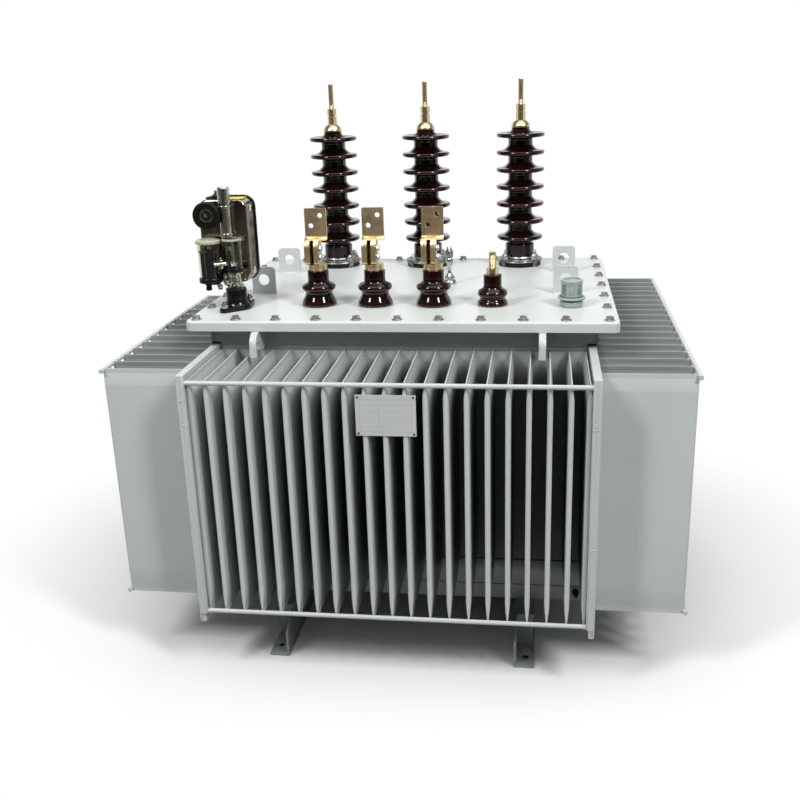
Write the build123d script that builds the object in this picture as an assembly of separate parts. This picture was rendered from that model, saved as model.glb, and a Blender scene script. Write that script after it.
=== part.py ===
"""Oil-filled power transformer with a finned tank.

Units are millimetres, +Z is up and the floor is z = 0. The origin is on the floor under the
middle of the tank. The low-voltage side, with the nameplate, is the front and faces -Y.
"""
import os

from build123d import *

os.makedirs("parts", exist_ok=True)

# Overall heights above the floor
SKID_HEIGHT = 104.0
COVER_TOP = 936.0
COVER_PLATE = 10.0
COVER_DEPTH = 27.0
BAND_BOTTOM = 860.0
TRAY_TOP = 146.0

# Tank plan
TANK_LENGTH = 1046.0
TANK_DEPTH = 792.0
BAND_PROUD = 3.0
BAND_WIDTH = 28.0
SHEET = 5.0
COVER_OVERHANG = 53.0
COVER_LIP = 8.0
COVER_CORNER = 18.0
COVER_EDGE = 6.0
FLOOR_PLATE = 8.0

# Cooling fins
FIN_TOP = 846.0
FIN_BOTTOM = 193.0
FIN_THICK = 13.0
FIN_PINCH = 3.0
PINCH_FLAT = 12.0
PINCH_SLOPE = 32.0
PINCH_LOW_SLOPE = 52.0
PINCH_BULGE = 0.62
FRONT_FIN_PITCH = 50.0
FRONT_FIN_COUNT = 19
FRONT_FIN_REACH = 688.0
SIDE_FIN_PITCH = 66.0
SIDE_FIN_START = -592.0
RIGHT_FIN_COUNT = 18
LEFT_FIN_COUNT = 14
SIDE_FIN_REACH = 755.0

# Stiffening rods across the fin tips
ROD_RADIUS = 6.0
ROD_OUT = 2.0
ROD_BELOW_TOP = 6.0
ROD_OVER_BOTTOM = 6.0
ROD_PAST_FIN = 12.0

# Folded plates that close the ends of the front and rear fins
END_PLATE = 20.0
END_PLATE_REACH = 700.0
END_PLATE_BOTTOM = 168.0
END_PLATE_FOLD = 4.0
END_PLATE_FOOT = 14.0

# Skids
SKID_INNER = 314.0
SKID_FLANGE = 56.0
SKID_WEB = 7.0
SKID_LENGTH = 1176.0
SKID_NOSE = 78.0
SKID_SLOPE = 60.0
SKID_HOLE_RADIUS = 8.0
SKID_HOLE_X = 346.0
SKID_HOLE_Y = 545.0
GUSSET_Y = 480.0

# Lifting lugs on the cover
LUG_X = 445.0
LUG_REAR_Y = 215.0
LUG_FRONT_Y = -103.0
LUG_WIDTH = 70.0
LUG_HEIGHT = 80.0
LUG_THICK = 10.0
LUG_HOLE_RADIUS = 17.0
LUG_HOLE_UP = 42.0
LUG_ROUND = 12.0

# Lashing hooks under the cover
HOOK_X = 380.0
HOOK_THICK = 18.0
HOOK_OUT = 91.0
HOOK_COVER_GAP = 1.0
HOOK_HEIGHT = 62.0
HOOK_ROOT_UP = 6.0
HOOK_BAR = 13.0
HOOK_SLOT = 30.0
HOOK_SLOT_DOWN = 24.0

# High-voltage bushings
HV_SPACING = 304.0
HV_Y = 338.0
HV_FOOT_RADIUS = 61.0
HV_FOOT_HEIGHT = 15.0
HV_STEM_RADIUS = 46.5
HV_STEM_TOP = 74.0
HV_CORE_RADIUS = 38.5
HV_SHED_RADIUS = 76.5
HV_LOW_SHED_RADIUS = 73.5
HV_SHED_COUNT = 7
HV_SHED_PITCH = 53.9
HV_FIRST_SHED = 92.0
HV_RIM = 6.5
HV_COLLAR_RADIUS = 28.5
HV_BODY_TOP = 439.0
HV_CAP_RADIUS = 29.5
HV_CAP_TOP = 460.0
HV_NUT_RADIUS = 15.0
HV_LOW_NUT_TOP = 486.0
HV_WASHER_RADIUS = 11.5
HV_WASHER_TOP = 490.0
HV_NUT_TOP = 509.0
HV_STUD_RADIUS = 8.0
HV_STUD_TOP = 585.0

# Clamp ring round the foot of each high-voltage bushing
CLAMP_RING_RADIUS = 65.0
CLAMP_RING_TOP = 26.0
CLAMP_EAR_OUT = 76.0
CLAMP_EAR_WIDTH = 17.0

# Low-voltage and neutral bushings: radii and heights above the cover
LV_X = (-244.0, -84.0, 80.0)
LV_Y = -255.0
LV_BASE_RADIUS = 48.5
LV_WAIST_RADIUS = 37.5
LV_RING_RADIUS = 48.0
LV_NECK_RADIUS = 29.5
LV_BELL = 9.0
LV_WAIST = 38.0
LV_RING = 55.0
LV_HEIGHT = 101.0
NEUTRAL_X = 243.0
NEUTRAL_BASE_RADIUS = 41.8
NEUTRAL_WAIST_RADIUS = 34.5
NEUTRAL_RING_RADIUS = 41.0
NEUTRAL_NECK_RADIUS = 24.8
NEUTRAL_BELL = 8.0
NEUTRAL_WAIST = 21.0
NEUTRAL_RING = 35.0
NEUTRAL_HEIGHT = 86.0

# Low-voltage terminals: collar, split clamp with rounded shoulders, flat palm
LV_COLLAR_RADIUS = 26.0
LV_COLLAR_HEIGHT = 17.0
CLAMP_LEFT = -30.0
CLAMP_RIGHT = 10.0
CLAMP_FRONT = 27.0
CLAMP_BACK = 17.0
CLAMP_SHOULDER = 72.0
CLAMP_ROUND = 9.0
CLAMP_SLOT_LEFT = -15.0
CLAMP_SLOT_RIGHT = -4.0
CLAMP_SLOT_TOP = 84.0
SLOT_STUD_RADIUS = 5.0
PALM_WIDTH = 60.0
PALM_THICK = 9.0
PALM_BOTTOM = 92.0
PALM_TOP = 170.0
PALM_ROUND = 3.0
PALM_HOLE_RADIUS = 7.0
PALM_HOLE_ACROSS = 13.0
PALM_HIGH_HOLE = 150.0
PALM_LOW_HOLE = 122.0

# Neutral terminal
NEUTRAL_NUT_RADIUS = 17.0
NEUTRAL_NUT_HEIGHT = 18.0
NEUTRAL_STUD_RADIUS = 10.0
NEUTRAL_STUD_TOP = 147.0

# Oil filler
FILLER_X = 457.0
FILLER_Y = -262.0
FILLER_NUT_RADIUS = 31.5
FILLER_RING_RADIUS = 38.0
FILLER_RING_LOW = 20.0
FILLER_RING_TOP = 27.0
FILLER_CAP_RADIUS = 29.5
FILLER_CAP_TOP = 74.0
FILLER_RECESS_RADIUS = 22.5
FILLER_PANELS = 8
FILLER_PANEL_WIDTH = 15.0
FILLER_PANEL_DEPTH = 2.0

# Relief valve
RELIEF_X = 99.0
RELIEF_Y = 30.0

# Protection relay: pedestal, fittings, clear chambers, dial and bright housing
PEDESTAL_X = -473.0
PEDESTAL_Y = -293.0
PEDESTAL_RADIUS = 29.0
PEDESTAL_FLARE = 36.0
PEDESTAL_TOP = 57.0
FLANGE_RADIUS = 40.0
FLANGE_EAR_RADIUS = 14.0
FLANGE_EAR_OUT = 56.0
FLANGE_TURN = 68.0
FLANGE_THICK = 12.0
HOUSING_LEFT = -578.0
HOUSING_RIGHT = -438.0
HOUSING_FRONT = -250.0
HOUSING_BACK = -172.0
HOUSING_LOW = 65.0
HOUSING_TOP = 298.0
HOUSING_CORNER = 28.0
HOUSING_EDGE = 7.0
HOUSING_RIM = 4.0
HOUSING_RIM_DEPTH = 7.0
FITTING_TOP = 104.0
FITTING_RADIUS = 26.0
FITTING_WAIST = 19.0
BRACKET_WIDTH = 30.0
BRACKET_LOW = 68.0
BRACKET_TOP = 92.0
SIGHT_X = -480.0
SIGHT_RADIUS = 27.0
SIGHT_TOP = 197.0
RISER_X = -495.0
RISER_RADIUS = 16.5
RISER_TOP = 290.0
VENT_RADIUS = 17.5
VENT_TOP = 334.0
CHAMBER_X = -546.0
CHAMBER_LOW = 74.0
CHAMBER_LOW_RADIUS = 29.0
CHAMBER_CAP_LOW = 183.0
CHAMBER_CAP_RADIUS = 34.5
CHAMBER_TOP = 193.0
DIAL_X = -540.0
DIAL_UP = 260.0
DIAL_RADIUS = 38.0
DIAL_NECK_RADIUS = 27.0
DIAL_NECK = 35.0
DIAL_DEPTH = 53.0
DIAL_FACE_RADIUS = 25.0
DIAL_RECESS = 9.0

# Nameplate
PLATE_WIDTH = 150.0
PLATE_HEIGHT = 106.0
PLATE_THICK = 2.5
PLATE_X = 3.0
PLATE_Z = 762.0

# Drain plug
DRAIN_X = 484.0
DRAIN_Z = 134.0
DRAIN_RADIUS = 8.0
DRAIN_LENGTH = 16.0


def box(x0, x1, y0, y1, z0, z1):
    """A box between two corners."""
    solid = Box(x1 - x0, y1 - y0, z1 - z0)
    return Pos((x0 + x1) / 2, (y0 + y1) / 2, (z0 + z1) / 2) * solid


def tube(x, y, z0, z1, radius):
    """An upright round bar."""
    return Pos(x, y, (z0 + z1) / 2) * Cylinder(radius, z1 - z0)


def drawn(*steps):
    """A flat face. Each step is the next corner, or a pair: a point on the way and an arc's end."""
    edges = []
    here = steps[0]
    for step in steps[1:] + (steps[0],):
        if isinstance(step[0], tuple):
            edges.append(ThreePointArc(here, *step))
            here = step[1]
        else:
            edges.append(Line(here, step))
            here = step
    return make_face(edges)


def turned(x, y, z, *steps):
    """A turned solid: its steps are (radius, height) above z, as in drawn."""
    return Pos(x, y, z) * revolve(Plane.XZ * drawn(*steps), Axis.Z)


def along_x(x0, x1, *steps):
    """A solid of one side outline: its steps are (y, z), as in drawn."""
    return extrude(Plane.YZ.offset(x0) * drawn(*steps), amount=x1 - x0)


def hexagon(x, y, z0, z1, radius):
    """An upright hexagonal nut, radius to its corners."""
    return Pos(x, y, z0) * extrude(RegularPolygon(radius, 6), amount=z1 - z0)


def save(shape, name):
    export_step(shape, "parts/" + name + ".step")


def fin(reach):
    """A fin that stands out along X from the origin: pinched at both ends, its nose a round fold."""
    full = FIN_THICK / 2
    thin = FIN_PINCH / 2
    bulge = thin + (full - thin) * PINCH_BULGE
    low_seam = FIN_BOTTOM + PINCH_FLAT
    low_full = low_seam + PINCH_LOW_SLOPE
    high_seam = FIN_TOP - PINCH_FLAT
    high_full = high_seam - PINCH_SLOPE
    side = along_x(
        0, reach,
        (thin, FIN_BOTTOM),
        (thin, low_seam),
        ((bulge, (low_seam + low_full) / 2), (full, low_full)),
        (full, high_full),
        ((bulge, (high_seam + high_full) / 2), (thin, high_seam)),
        (thin, FIN_TOP),
        (-thin, FIN_TOP),
        (-thin, high_seam),
        ((-bulge, (high_seam + high_full) / 2), (-full, high_full)),
        (-full, low_full),
        ((-bulge, (low_seam + low_full) / 2), (-thin, low_seam)),
        (-thin, FIN_BOTTOM),
    )
    plan = drawn((0, -full), (reach - full, -full), ((reach, 0), (reach - full, full)), (0, full))
    return side & Pos(0, 0, FIN_BOTTOM) * extrude(plan, amount=FIN_TOP - FIN_BOTTOM)


HALF_L = TANK_LENGTH / 2
HALF_D = TANK_DEPTH / 2
SHEET_X = HALF_L - BAND_PROUD
END_FIN_X = SHEET_X - END_PLATE - FIN_THICK / 2
HOOK_TOP = COVER_TOP - COVER_DEPTH - HOOK_COVER_GAP
HOOK_BOTTOM = HOOK_TOP - HOOK_HEIGHT
HOOK_ROOT_LOW = HOOK_BOTTOM + HOOK_ROOT_UP
HOOK_SLOT_TOP = HOOK_TOP - HOOK_SLOT_DOWN
SHEET_Y = HALF_D - BAND_PROUD
COVER_X = HALF_L + COVER_OVERHANG
COVER_Y = HALF_D + COVER_OVERHANG
ROD_TOP_Z = FIN_TOP - ROD_BELOW_TOP
ROD_LOW_Z = FIN_BOTTOM + ROD_OVER_BOTTOM

# Tray that closes the tank below
tray = box(-HALF_L, HALF_L, -HALF_D, HALF_D, SKID_HEIGHT, TRAY_TOP)
tray -= box(
    -SHEET_X + SHEET, SHEET_X - SHEET, -SHEET_Y + SHEET, SHEET_Y - SHEET,
    SKID_HEIGHT + FLOOR_PLATE, TRAY_TOP,
)
save(tray, "tank_floor_tray")

# Band round the top of the tank, under the cover
band = box(-HALF_L, HALF_L, -HALF_D, HALF_D, BAND_BOTTOM, COVER_TOP - COVER_PLATE)
band -= box(
    -HALF_L + BAND_WIDTH, HALF_L - BAND_WIDTH, -HALF_D + BAND_WIDTH, HALF_D - BAND_WIDTH,
    BAND_BOTTOM, COVER_TOP - COVER_PLATE,
)
save(band, "tank_top_band")

# Cover with its edge turned down
cover = Pos(0, 0, COVER_TOP - COVER_DEPTH / 2) * Box(2 * COVER_X, 2 * COVER_Y, COVER_DEPTH)
cover = fillet(cover.edges().filter_by(Axis.Z), COVER_CORNER)
cover = fillet(cover.edges().group_by(Axis.Z)[-1], COVER_EDGE)
cover -= box(
    -COVER_X + COVER_LIP, COVER_X - COVER_LIP, -COVER_Y + COVER_LIP, COVER_Y - COVER_LIP,
    COVER_TOP - COVER_DEPTH, COVER_TOP - COVER_PLATE,
)
save(cover, "tank_cover")


# Rods: two across the tips of each fin row
def rods_along_x(y):
    solids = []
    for z in (ROD_TOP_Z, ROD_LOW_Z):
        inner = SHEET_X - END_PLATE
        solids.append(Pos(0, y, z) * Rot(0, 90, 0) * Cylinder(ROD_RADIUS, 2 * inner))
    return solids


def rods_along_y(x, y0, y1):
    solids = []
    for z in (ROD_TOP_Z, ROD_LOW_Z):
        solids.append(Pos(x, (y0 + y1) / 2, z) * Rot(90, 0, 0) * Cylinder(ROD_RADIUS, y1 - y0))
    return solids


front_rods = rods_along_x(-FRONT_FIN_REACH - ROD_OUT)
rear_rods = rods_along_x(FRONT_FIN_REACH + ROD_OUT)
rod_start = SIDE_FIN_START - ROD_PAST_FIN
right_last = SIDE_FIN_START + SIDE_FIN_PITCH * (RIGHT_FIN_COUNT - 1)
left_last = SIDE_FIN_START + SIDE_FIN_PITCH * (LEFT_FIN_COUNT - 1)
right_rods = rods_along_y(SIDE_FIN_REACH + ROD_OUT, rod_start, right_last + ROD_PAST_FIN)
left_rods = rods_along_y(-SIDE_FIN_REACH - ROD_OUT, rod_start, left_last + ROD_PAST_FIN)
save(Compound(children=front_rods), "front_fin_rods")
save(Compound(children=rear_rods), "rear_fin_rods")
save(Compound(children=right_rods), "right_fin_rods")
save(Compound(children=left_rods), "left_fin_rods")


# Long finned walls
def long_wall(side, rods):
    """side is -1 for the front and 1 for the rear."""
    outer = side * SHEET_Y
    inner = side * (SHEET_Y - SHEET)
    wall = box(-SHEET_X, SHEET_X, min(outer, inner), max(outer, inner), TRAY_TOP, BAND_BOTTOM)
    one_fin = fin(FRONT_FIN_REACH - SHEET_Y)
    middle = (FRONT_FIN_COUNT - 1) / 2
    places = [(index - middle) * FRONT_FIN_PITCH for index in range(FRONT_FIN_COUNT)]
    fins = [Pos(x, outer) * Rot(0, 0, side * 90) * one_fin for x in (-END_FIN_X, *places, END_FIN_X)]
    wall = wall.fuse(*fins)
    for rod in rods:
        wall = wall.cut(rod)
    return wall


save(long_wall(-1, front_rods), "front_fin_wall")
save(long_wall(1, rear_rods), "rear_fin_wall")


# Short finned walls between the long ones
def short_wall(side, count, rods):
    """side is -1 for the left and 1 for the right."""
    outer = side * SHEET_X
    inner = side * (SHEET_X - SHEET)
    end = SHEET_Y - SHEET
    wall = box(min(outer, inner), max(outer, inner), -end, end, TRAY_TOP, BAND_BOTTOM)
    one_fin = Rot(0, 0, 90 - side * 90) * fin(SIDE_FIN_REACH - SHEET_X)
    fins = [Pos(outer, SIDE_FIN_START + index * SIDE_FIN_PITCH) * one_fin for index in range(count)]
    wall = wall.fuse(*fins)
    for rod in rods:
        wall = wall.cut(rod)
    return wall


# End plates of the front and rear fins: folded boxes, thinner below the fins
def end_plates(side):
    near = side * SHEET_Y
    far = side * END_PLATE_REACH
    y0, y1 = min(near, far), max(near, far)
    solids = []
    for hand in (-1, 1):
        x0, x1 = sorted((hand * SHEET_X, hand * (SHEET_X - END_PLATE)))
        plate = box(x0, x1, y0, y1, FIN_BOTTOM, BAND_BOTTOM)
        tips = plate.edges().filter_by(Axis.Z).sort_by(Axis.Y)
        plate = fillet(tips[:2] if side < 0 else tips[2:], END_PLATE_FOLD)
        x0, x1 = sorted((hand * SHEET_X, hand * (SHEET_X - END_PLATE_FOOT)))
        foot_far = side * (END_PLATE_REACH - END_PLATE_FOLD)
        y0f, y1f = min(near, foot_far), max(near, foot_far)
        solids.append(plate + box(x0, x1, y0f, y1f, END_PLATE_BOTTOM, FIN_BOTTOM))
    return solids


save(Compound(children=end_plates(-1)), "front_end_plates")
save(Compound(children=end_plates(1)), "rear_end_plates")

for side, count, rods, name in (
    (-1, LEFT_FIN_COUNT, left_rods, "left_fin_wall"),
    (1, RIGHT_FIN_COUNT, right_rods, "right_fin_wall"),
):
    save(short_wall(side, count, rods), name)


# Skids: two channels with their backs towards each other
def skid(side):
    half = SKID_LENGTH / 2
    web_points = [
        (-half, 0), (half, 0), (half, SKID_NOSE), (half - SKID_SLOPE, SKID_HEIGHT),
        (-half + SKID_SLOPE, SKID_HEIGHT), (-half, SKID_NOSE),
    ]
    x_in = SKID_INNER
    x_out = SKID_INNER + SKID_FLANGE
    face = make_face(Polyline(*[(x_in, y, z) for y, z in web_points], close=True))
    shape = extrude(face, amount=SKID_WEB, dir=(1, 0, 0))
    shape += box(x_in, x_out, -half, half, 0, SKID_WEB)
    top_half = GUSSET_Y + SKID_WEB / 2
    shape += box(x_in, x_out, -top_half, top_half, SKID_HEIGHT - SKID_WEB, SKID_HEIGHT)
    for y in (-GUSSET_Y, GUSSET_Y):
        shape += box(
            x_in + SKID_WEB, x_out - 4, y - SKID_WEB / 2, y + SKID_WEB / 2,
            SKID_WEB, SKID_HEIGHT - SKID_WEB,
        )
    for y in (-SKID_HOLE_Y, SKID_HOLE_Y):
        shape -= tube(SKID_HOLE_X, y, -1, SKID_WEB + 1, SKID_HOLE_RADIUS)
    if side < 0:
        shape = mirror(shape, Plane.YZ)
    return shape


save(skid(-1), "left_skid")
save(skid(1), "right_skid")


# Lifting lugs
def lug(x, y):
    plate = Pos(x, y, COVER_TOP + LUG_HEIGHT / 2) * Box(LUG_WIDTH, LUG_THICK, LUG_HEIGHT)
    top = plate.edges().filter_by(Axis.Y).group_by(Axis.Z)[-1]
    plate = fillet(top, LUG_ROUND)
    eye = Pos(x, y, COVER_TOP + LUG_HOLE_UP) * Rot(90, 0, 0)
    plate -= eye * Cylinder(LUG_HOLE_RADIUS, LUG_THICK + 2)
    return plate


save(Compound(children=[lug(-LUG_X, LUG_FRONT_Y), lug(-LUG_X, LUG_REAR_Y)]), "left_lifting_lugs")
save(Compound(children=[lug(LUG_X, LUG_FRONT_Y), lug(LUG_X, LUG_REAR_Y)]), "right_lifting_lugs")


# Lashing hooks: a round shoulder, a front bar and an open slot behind it
def hook(x, side):
    """side is -1 for the front and 1 for the rear."""
    root = HALF_D
    lip = root + HOOK_OUT
    bar = lip - HOOK_BAR
    slot = bar - HOOK_SLOT
    arch = HOOK_SLOT_TOP - HOOK_SLOT / 2
    outline = (
        (root, HOOK_TOP - 3),
        (lip - 40, HOOK_TOP),
        ((lip - 11, HOOK_TOP - 9), (lip, HOOK_TOP - 34)),
        (lip, HOOK_BOTTOM),
        (bar, HOOK_BOTTOM),
        (bar, arch),
        ((bar - HOOK_SLOT / 2, HOOK_SLOT_TOP), (slot, arch)),
        (slot, HOOK_ROOT_LOW + 8),
        ((slot - 3, HOOK_ROOT_LOW + 2), (slot - 10, HOOK_ROOT_LOW)),
        (root + 12, HOOK_ROOT_LOW),
        (root, HOOK_ROOT_LOW + 8),
    )
    shape = along_x(x - HOOK_THICK / 2, x + HOOK_THICK / 2, *outline)
    return shape if side > 0 else mirror(shape, Plane.XZ)


save(Compound(children=[hook(-HOOK_X, -1), hook(HOOK_X, -1)]), "front_lashing_hooks")
save(Compound(children=[hook(-HOOK_X, 1), hook(HOOK_X, 1)]), "rear_lashing_hooks")


# High-voltage bushings: porcelain with umbrella sheds
def hv_shed(level, radius):
    """Outline steps of one shed, from the core below it to the core above it."""
    core = HV_CORE_RADIUS
    return [
        (core, level - 16),
        ((core + 4, level - 9), (core + 13, level - HV_RIM)),
        (radius - HV_RIM, level - HV_RIM),
        ((radius, level), (radius - HV_RIM, level + HV_RIM)),
        ((core + 11, level + 12), (core, level + 24)),
    ]


def hv_porcelain(x):
    steps = [
        (0, 0),
        (HV_FOOT_RADIUS, 0),
        (HV_FOOT_RADIUS, HV_FOOT_HEIGHT),
        (HV_STEM_RADIUS, HV_FOOT_HEIGHT),
        (HV_STEM_RADIUS, HV_STEM_TOP - 6),
        ((HV_STEM_RADIUS - 2, HV_STEM_TOP - 2), (HV_CORE_RADIUS, HV_STEM_TOP)),
    ]
    for index in range(HV_SHED_COUNT):
        radius = HV_SHED_RADIUS if index else HV_LOW_SHED_RADIUS
        steps += hv_shed(HV_FIRST_SHED + index * HV_SHED_PITCH, radius)
    steps.pop()
    top = HV_FIRST_SHED + (HV_SHED_COUNT - 1) * HV_SHED_PITCH
    steps += [
        ((HV_COLLAR_RADIUS + 9, top + 9), (HV_COLLAR_RADIUS, top + 15)),
        (HV_COLLAR_RADIUS, HV_BODY_TOP),
        (0, HV_BODY_TOP),
    ]
    return turned(x, HV_Y, COVER_TOP, *steps)


def hv_ring(x):
    """A cast ring held down by four eared clamps."""
    low = HV_FOOT_HEIGHT
    ring = turned(
        x, HV_Y, COVER_TOP,
        (HV_STEM_RADIUS, low),
        (CLAMP_RING_RADIUS - 3, low),
        (CLAMP_RING_RADIUS, low + 3),
        ((CLAMP_RING_RADIUS - 2, CLAMP_RING_TOP - 4), (CLAMP_RING_RADIUS - 8, CLAMP_RING_TOP)),
        (HV_STEM_RADIUS, CLAMP_RING_TOP),
    )
    ear = along_x(
        -CLAMP_EAR_WIDTH / 2, CLAMP_EAR_WIDTH / 2,
        (HV_FOOT_RADIUS + 1, 0),
        (CLAMP_RING_RADIUS + 2, 0),
        (CLAMP_EAR_OUT, low),
        (CLAMP_EAR_OUT, CLAMP_RING_TOP - 6),
        (CLAMP_EAR_OUT - 4, CLAMP_RING_TOP - 1),
        (HV_FOOT_RADIUS + 1, CLAMP_RING_TOP - 1),
    )
    ears = [Pos(x, HV_Y, COVER_TOP) * Rot(0, 0, turn) * ear for turn in (45, 135, 225, 315)]
    return ring.fuse(*ears)


def hv_terminal(x):
    cap = turned(
        x, HV_Y, COVER_TOP,
        (0, HV_BODY_TOP),
        (HV_CAP_RADIUS, HV_BODY_TOP),
        (HV_CAP_RADIUS, HV_BODY_TOP + 5),
        ((HV_CAP_RADIUS - 6, HV_CAP_TOP - 6), (HV_NUT_RADIUS, HV_CAP_TOP)),
        (0, HV_CAP_TOP),
    )
    low_nut = hexagon(x, HV_Y, COVER_TOP + HV_CAP_TOP, COVER_TOP + HV_LOW_NUT_TOP, HV_NUT_RADIUS)
    high_nut = hexagon(x, HV_Y, COVER_TOP + HV_WASHER_TOP, COVER_TOP + HV_NUT_TOP, HV_NUT_RADIUS)
    stud = turned(
        x, HV_Y, COVER_TOP,
        (0, HV_LOW_NUT_TOP),
        (HV_WASHER_RADIUS, HV_LOW_NUT_TOP),
        (HV_WASHER_RADIUS, HV_WASHER_TOP),
        (HV_STUD_RADIUS, HV_WASHER_TOP),
        (HV_STUD_RADIUS, HV_STUD_TOP - 2),
        (HV_STUD_RADIUS - 2, HV_STUD_TOP),
        (0, HV_STUD_TOP),
    )
    return cap + low_nut + stud + high_nut


for index, x in enumerate((-HV_SPACING, 0.0, HV_SPACING)):
    label = str(index + 1)
    save(hv_ring(x), "hv_clamp_ring_" + label)
    save(hv_porcelain(x), "hv_bushing_" + label)
    save(hv_terminal(x), "hv_terminal_" + label)


# Low-voltage and neutral bushings: bell foot, waist, round ring and plain neck
def bell_porcelain(x, radii, heights):
    base, waist, ring, neck = radii
    bell, pinch, bulge, top = heights
    return turned(
        x, LV_Y, COVER_TOP,
        (0, 0),
        (base - 3, 0),
        ((base - 0.8, 1.2), (base, 4)),
        (base, bell - 2),
        (((base + waist) / 2 - 1, (bell + pinch) / 2 - 1), (waist, pinch)),
        ((waist + 1, pinch + 2.5), (waist + 3, pinch + 4)),
        (ring - 5, bulge - 8),
        ((ring, bulge), (ring - 5, bulge + 7)),
        ((neck + 4, bulge + 13), (neck, bulge + 20)),
        (neck, top - 1.5),
        (neck - 1.5, top),
        (0, top),
    )


def lv_terminal(x):
    low = COVER_TOP + LV_HEIGHT
    collar = tube(x, LV_Y, low, low + LV_COLLAR_HEIGHT, LV_COLLAR_RADIUS)
    front = LV_Y - CLAMP_FRONT
    back = LV_Y + CLAMP_BACK
    foot = low + LV_COLLAR_HEIGHT
    palm_front = LV_Y
    palm_back = LV_Y + PALM_THICK
    clamp = along_x(
        x + CLAMP_LEFT, x + CLAMP_RIGHT,
        (back - CLAMP_ROUND, foot),
        ((back - 2.6, foot + 2.6), (back, foot + CLAMP_ROUND)),
        (back, low + CLAMP_SHOULDER - CLAMP_ROUND),
        ((back - 3, low + CLAMP_SHOULDER + 6), (palm_back, low + PALM_BOTTOM)),
        (palm_front, low + PALM_BOTTOM),
        ((front + 7, low + CLAMP_SHOULDER + 9), (front, low + CLAMP_SHOULDER - 8)),
        (front, foot + CLAMP_ROUND),
        ((front + 2.6, foot + 2.6), (front + CLAMP_ROUND, foot)),
    )
    shoulder = along_x(
        x - PALM_WIDTH / 2, x + PALM_WIDTH / 2,
        (palm_back, low + PALM_BOTTOM + 4),
        (palm_front, low + PALM_BOTTOM + 4),
        ((palm_front - 3, low + PALM_BOTTOM - 4), (palm_front - 11, low + PALM_BOTTOM - 9)),
        (palm_back, low + PALM_BOTTOM - 9),
    )
    palm = box(
        x - PALM_WIDTH / 2, x + PALM_WIDTH / 2, palm_front, palm_back,
        low + PALM_BOTTOM, low + PALM_TOP,
    )
    corners = palm.edges().filter_by(Axis.Y).group_by(Axis.Z)[-1]
    palm = fillet(corners, PALM_ROUND)
    slot = box(
        x + CLAMP_SLOT_LEFT, x + CLAMP_SLOT_RIGHT, front - 1, back + 1,
        foot, low + CLAMP_SLOT_TOP,
    )
    stud_x = x + (CLAMP_SLOT_LEFT + CLAMP_SLOT_RIGHT) / 2
    stud = tube(stud_x, LV_Y, foot, low + CLAMP_SLOT_TOP, SLOT_STUD_RADIUS)
    shape = collar + (clamp + shoulder + palm - slot) + stud
    for across, up in ((PALM_HOLE_ACROSS, PALM_HIGH_HOLE), (-PALM_HOLE_ACROSS, PALM_LOW_HOLE)):
        drill = Pos(x + across, LV_Y + PALM_THICK / 2, low + up) * Rot(90, 0, 0)
        shape -= drill * Cylinder(PALM_HOLE_RADIUS, PALM_THICK + 2)
    return shape


LV_RADII = (LV_BASE_RADIUS, LV_WAIST_RADIUS, LV_RING_RADIUS, LV_NECK_RADIUS)
LV_HEIGHTS = (LV_BELL, LV_WAIST, LV_RING, LV_HEIGHT)
for index, x in enumerate(LV_X):
    label = str(index + 1)
    save(bell_porcelain(x, LV_RADII, LV_HEIGHTS), "lv_bushing_" + label)
    save(lv_terminal(x), "lv_terminal_" + label)

NEUTRAL_RADII = (NEUTRAL_BASE_RADIUS, NEUTRAL_WAIST_RADIUS, NEUTRAL_RING_RADIUS, NEUTRAL_NECK_RADIUS)
NEUTRAL_HEIGHTS = (NEUTRAL_BELL, NEUTRAL_WAIST, NEUTRAL_RING, NEUTRAL_HEIGHT)
save(bell_porcelain(NEUTRAL_X, NEUTRAL_RADII, NEUTRAL_HEIGHTS), "neutral_bushing")
nut_low = COVER_TOP + NEUTRAL_HEIGHT
nut_top = nut_low + NEUTRAL_NUT_HEIGHT
neutral = hexagon(NEUTRAL_X, LV_Y, nut_low, nut_top, NEUTRAL_NUT_RADIUS)
neutral += tube(NEUTRAL_X, LV_Y, nut_top, COVER_TOP + NEUTRAL_STUD_TOP, NEUTRAL_STUD_RADIUS)
save(neutral, "neutral_stud")

# Oil filler: a round nut, a groove and a flange, under a panelled screw cap
neck = turned(
    FILLER_X, FILLER_Y, COVER_TOP,
    (0, 0),
    (FILLER_NUT_RADIUS - 4, 0),
    ((FILLER_NUT_RADIUS - 1, 1.5), (FILLER_NUT_RADIUS, 5)),
    (FILLER_NUT_RADIUS, 11),
    ((FILLER_NUT_RADIUS - 1, 14), (FILLER_NUT_RADIUS - 4, 15)),
    (FILLER_NUT_RADIUS - 4, FILLER_RING_LOW),
    (FILLER_RING_RADIUS - 3, FILLER_RING_LOW),
    ((FILLER_RING_RADIUS, FILLER_RING_LOW + 3.5), (FILLER_RING_RADIUS - 3, FILLER_RING_TOP)),
    (0, FILLER_RING_TOP),
)
save(neck, "filler_neck")
cap = turned(
    FILLER_X, FILLER_Y, COVER_TOP,
    (0, FILLER_RING_TOP),
    (FILLER_CAP_RADIUS, FILLER_RING_TOP),
    (FILLER_CAP_RADIUS, FILLER_CAP_TOP - 7),
    ((FILLER_CAP_RADIUS + 1, FILLER_CAP_TOP - 3), (FILLER_CAP_RADIUS - 2, FILLER_CAP_TOP)),
    (FILLER_RECESS_RADIUS, FILLER_CAP_TOP),
    (FILLER_RECESS_RADIUS, FILLER_CAP_TOP - 6),
    (0, FILLER_CAP_TOP - 6),
)
panel_low = FILLER_RING_TOP + 6
panel_top = FILLER_CAP_TOP - 12
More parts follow.
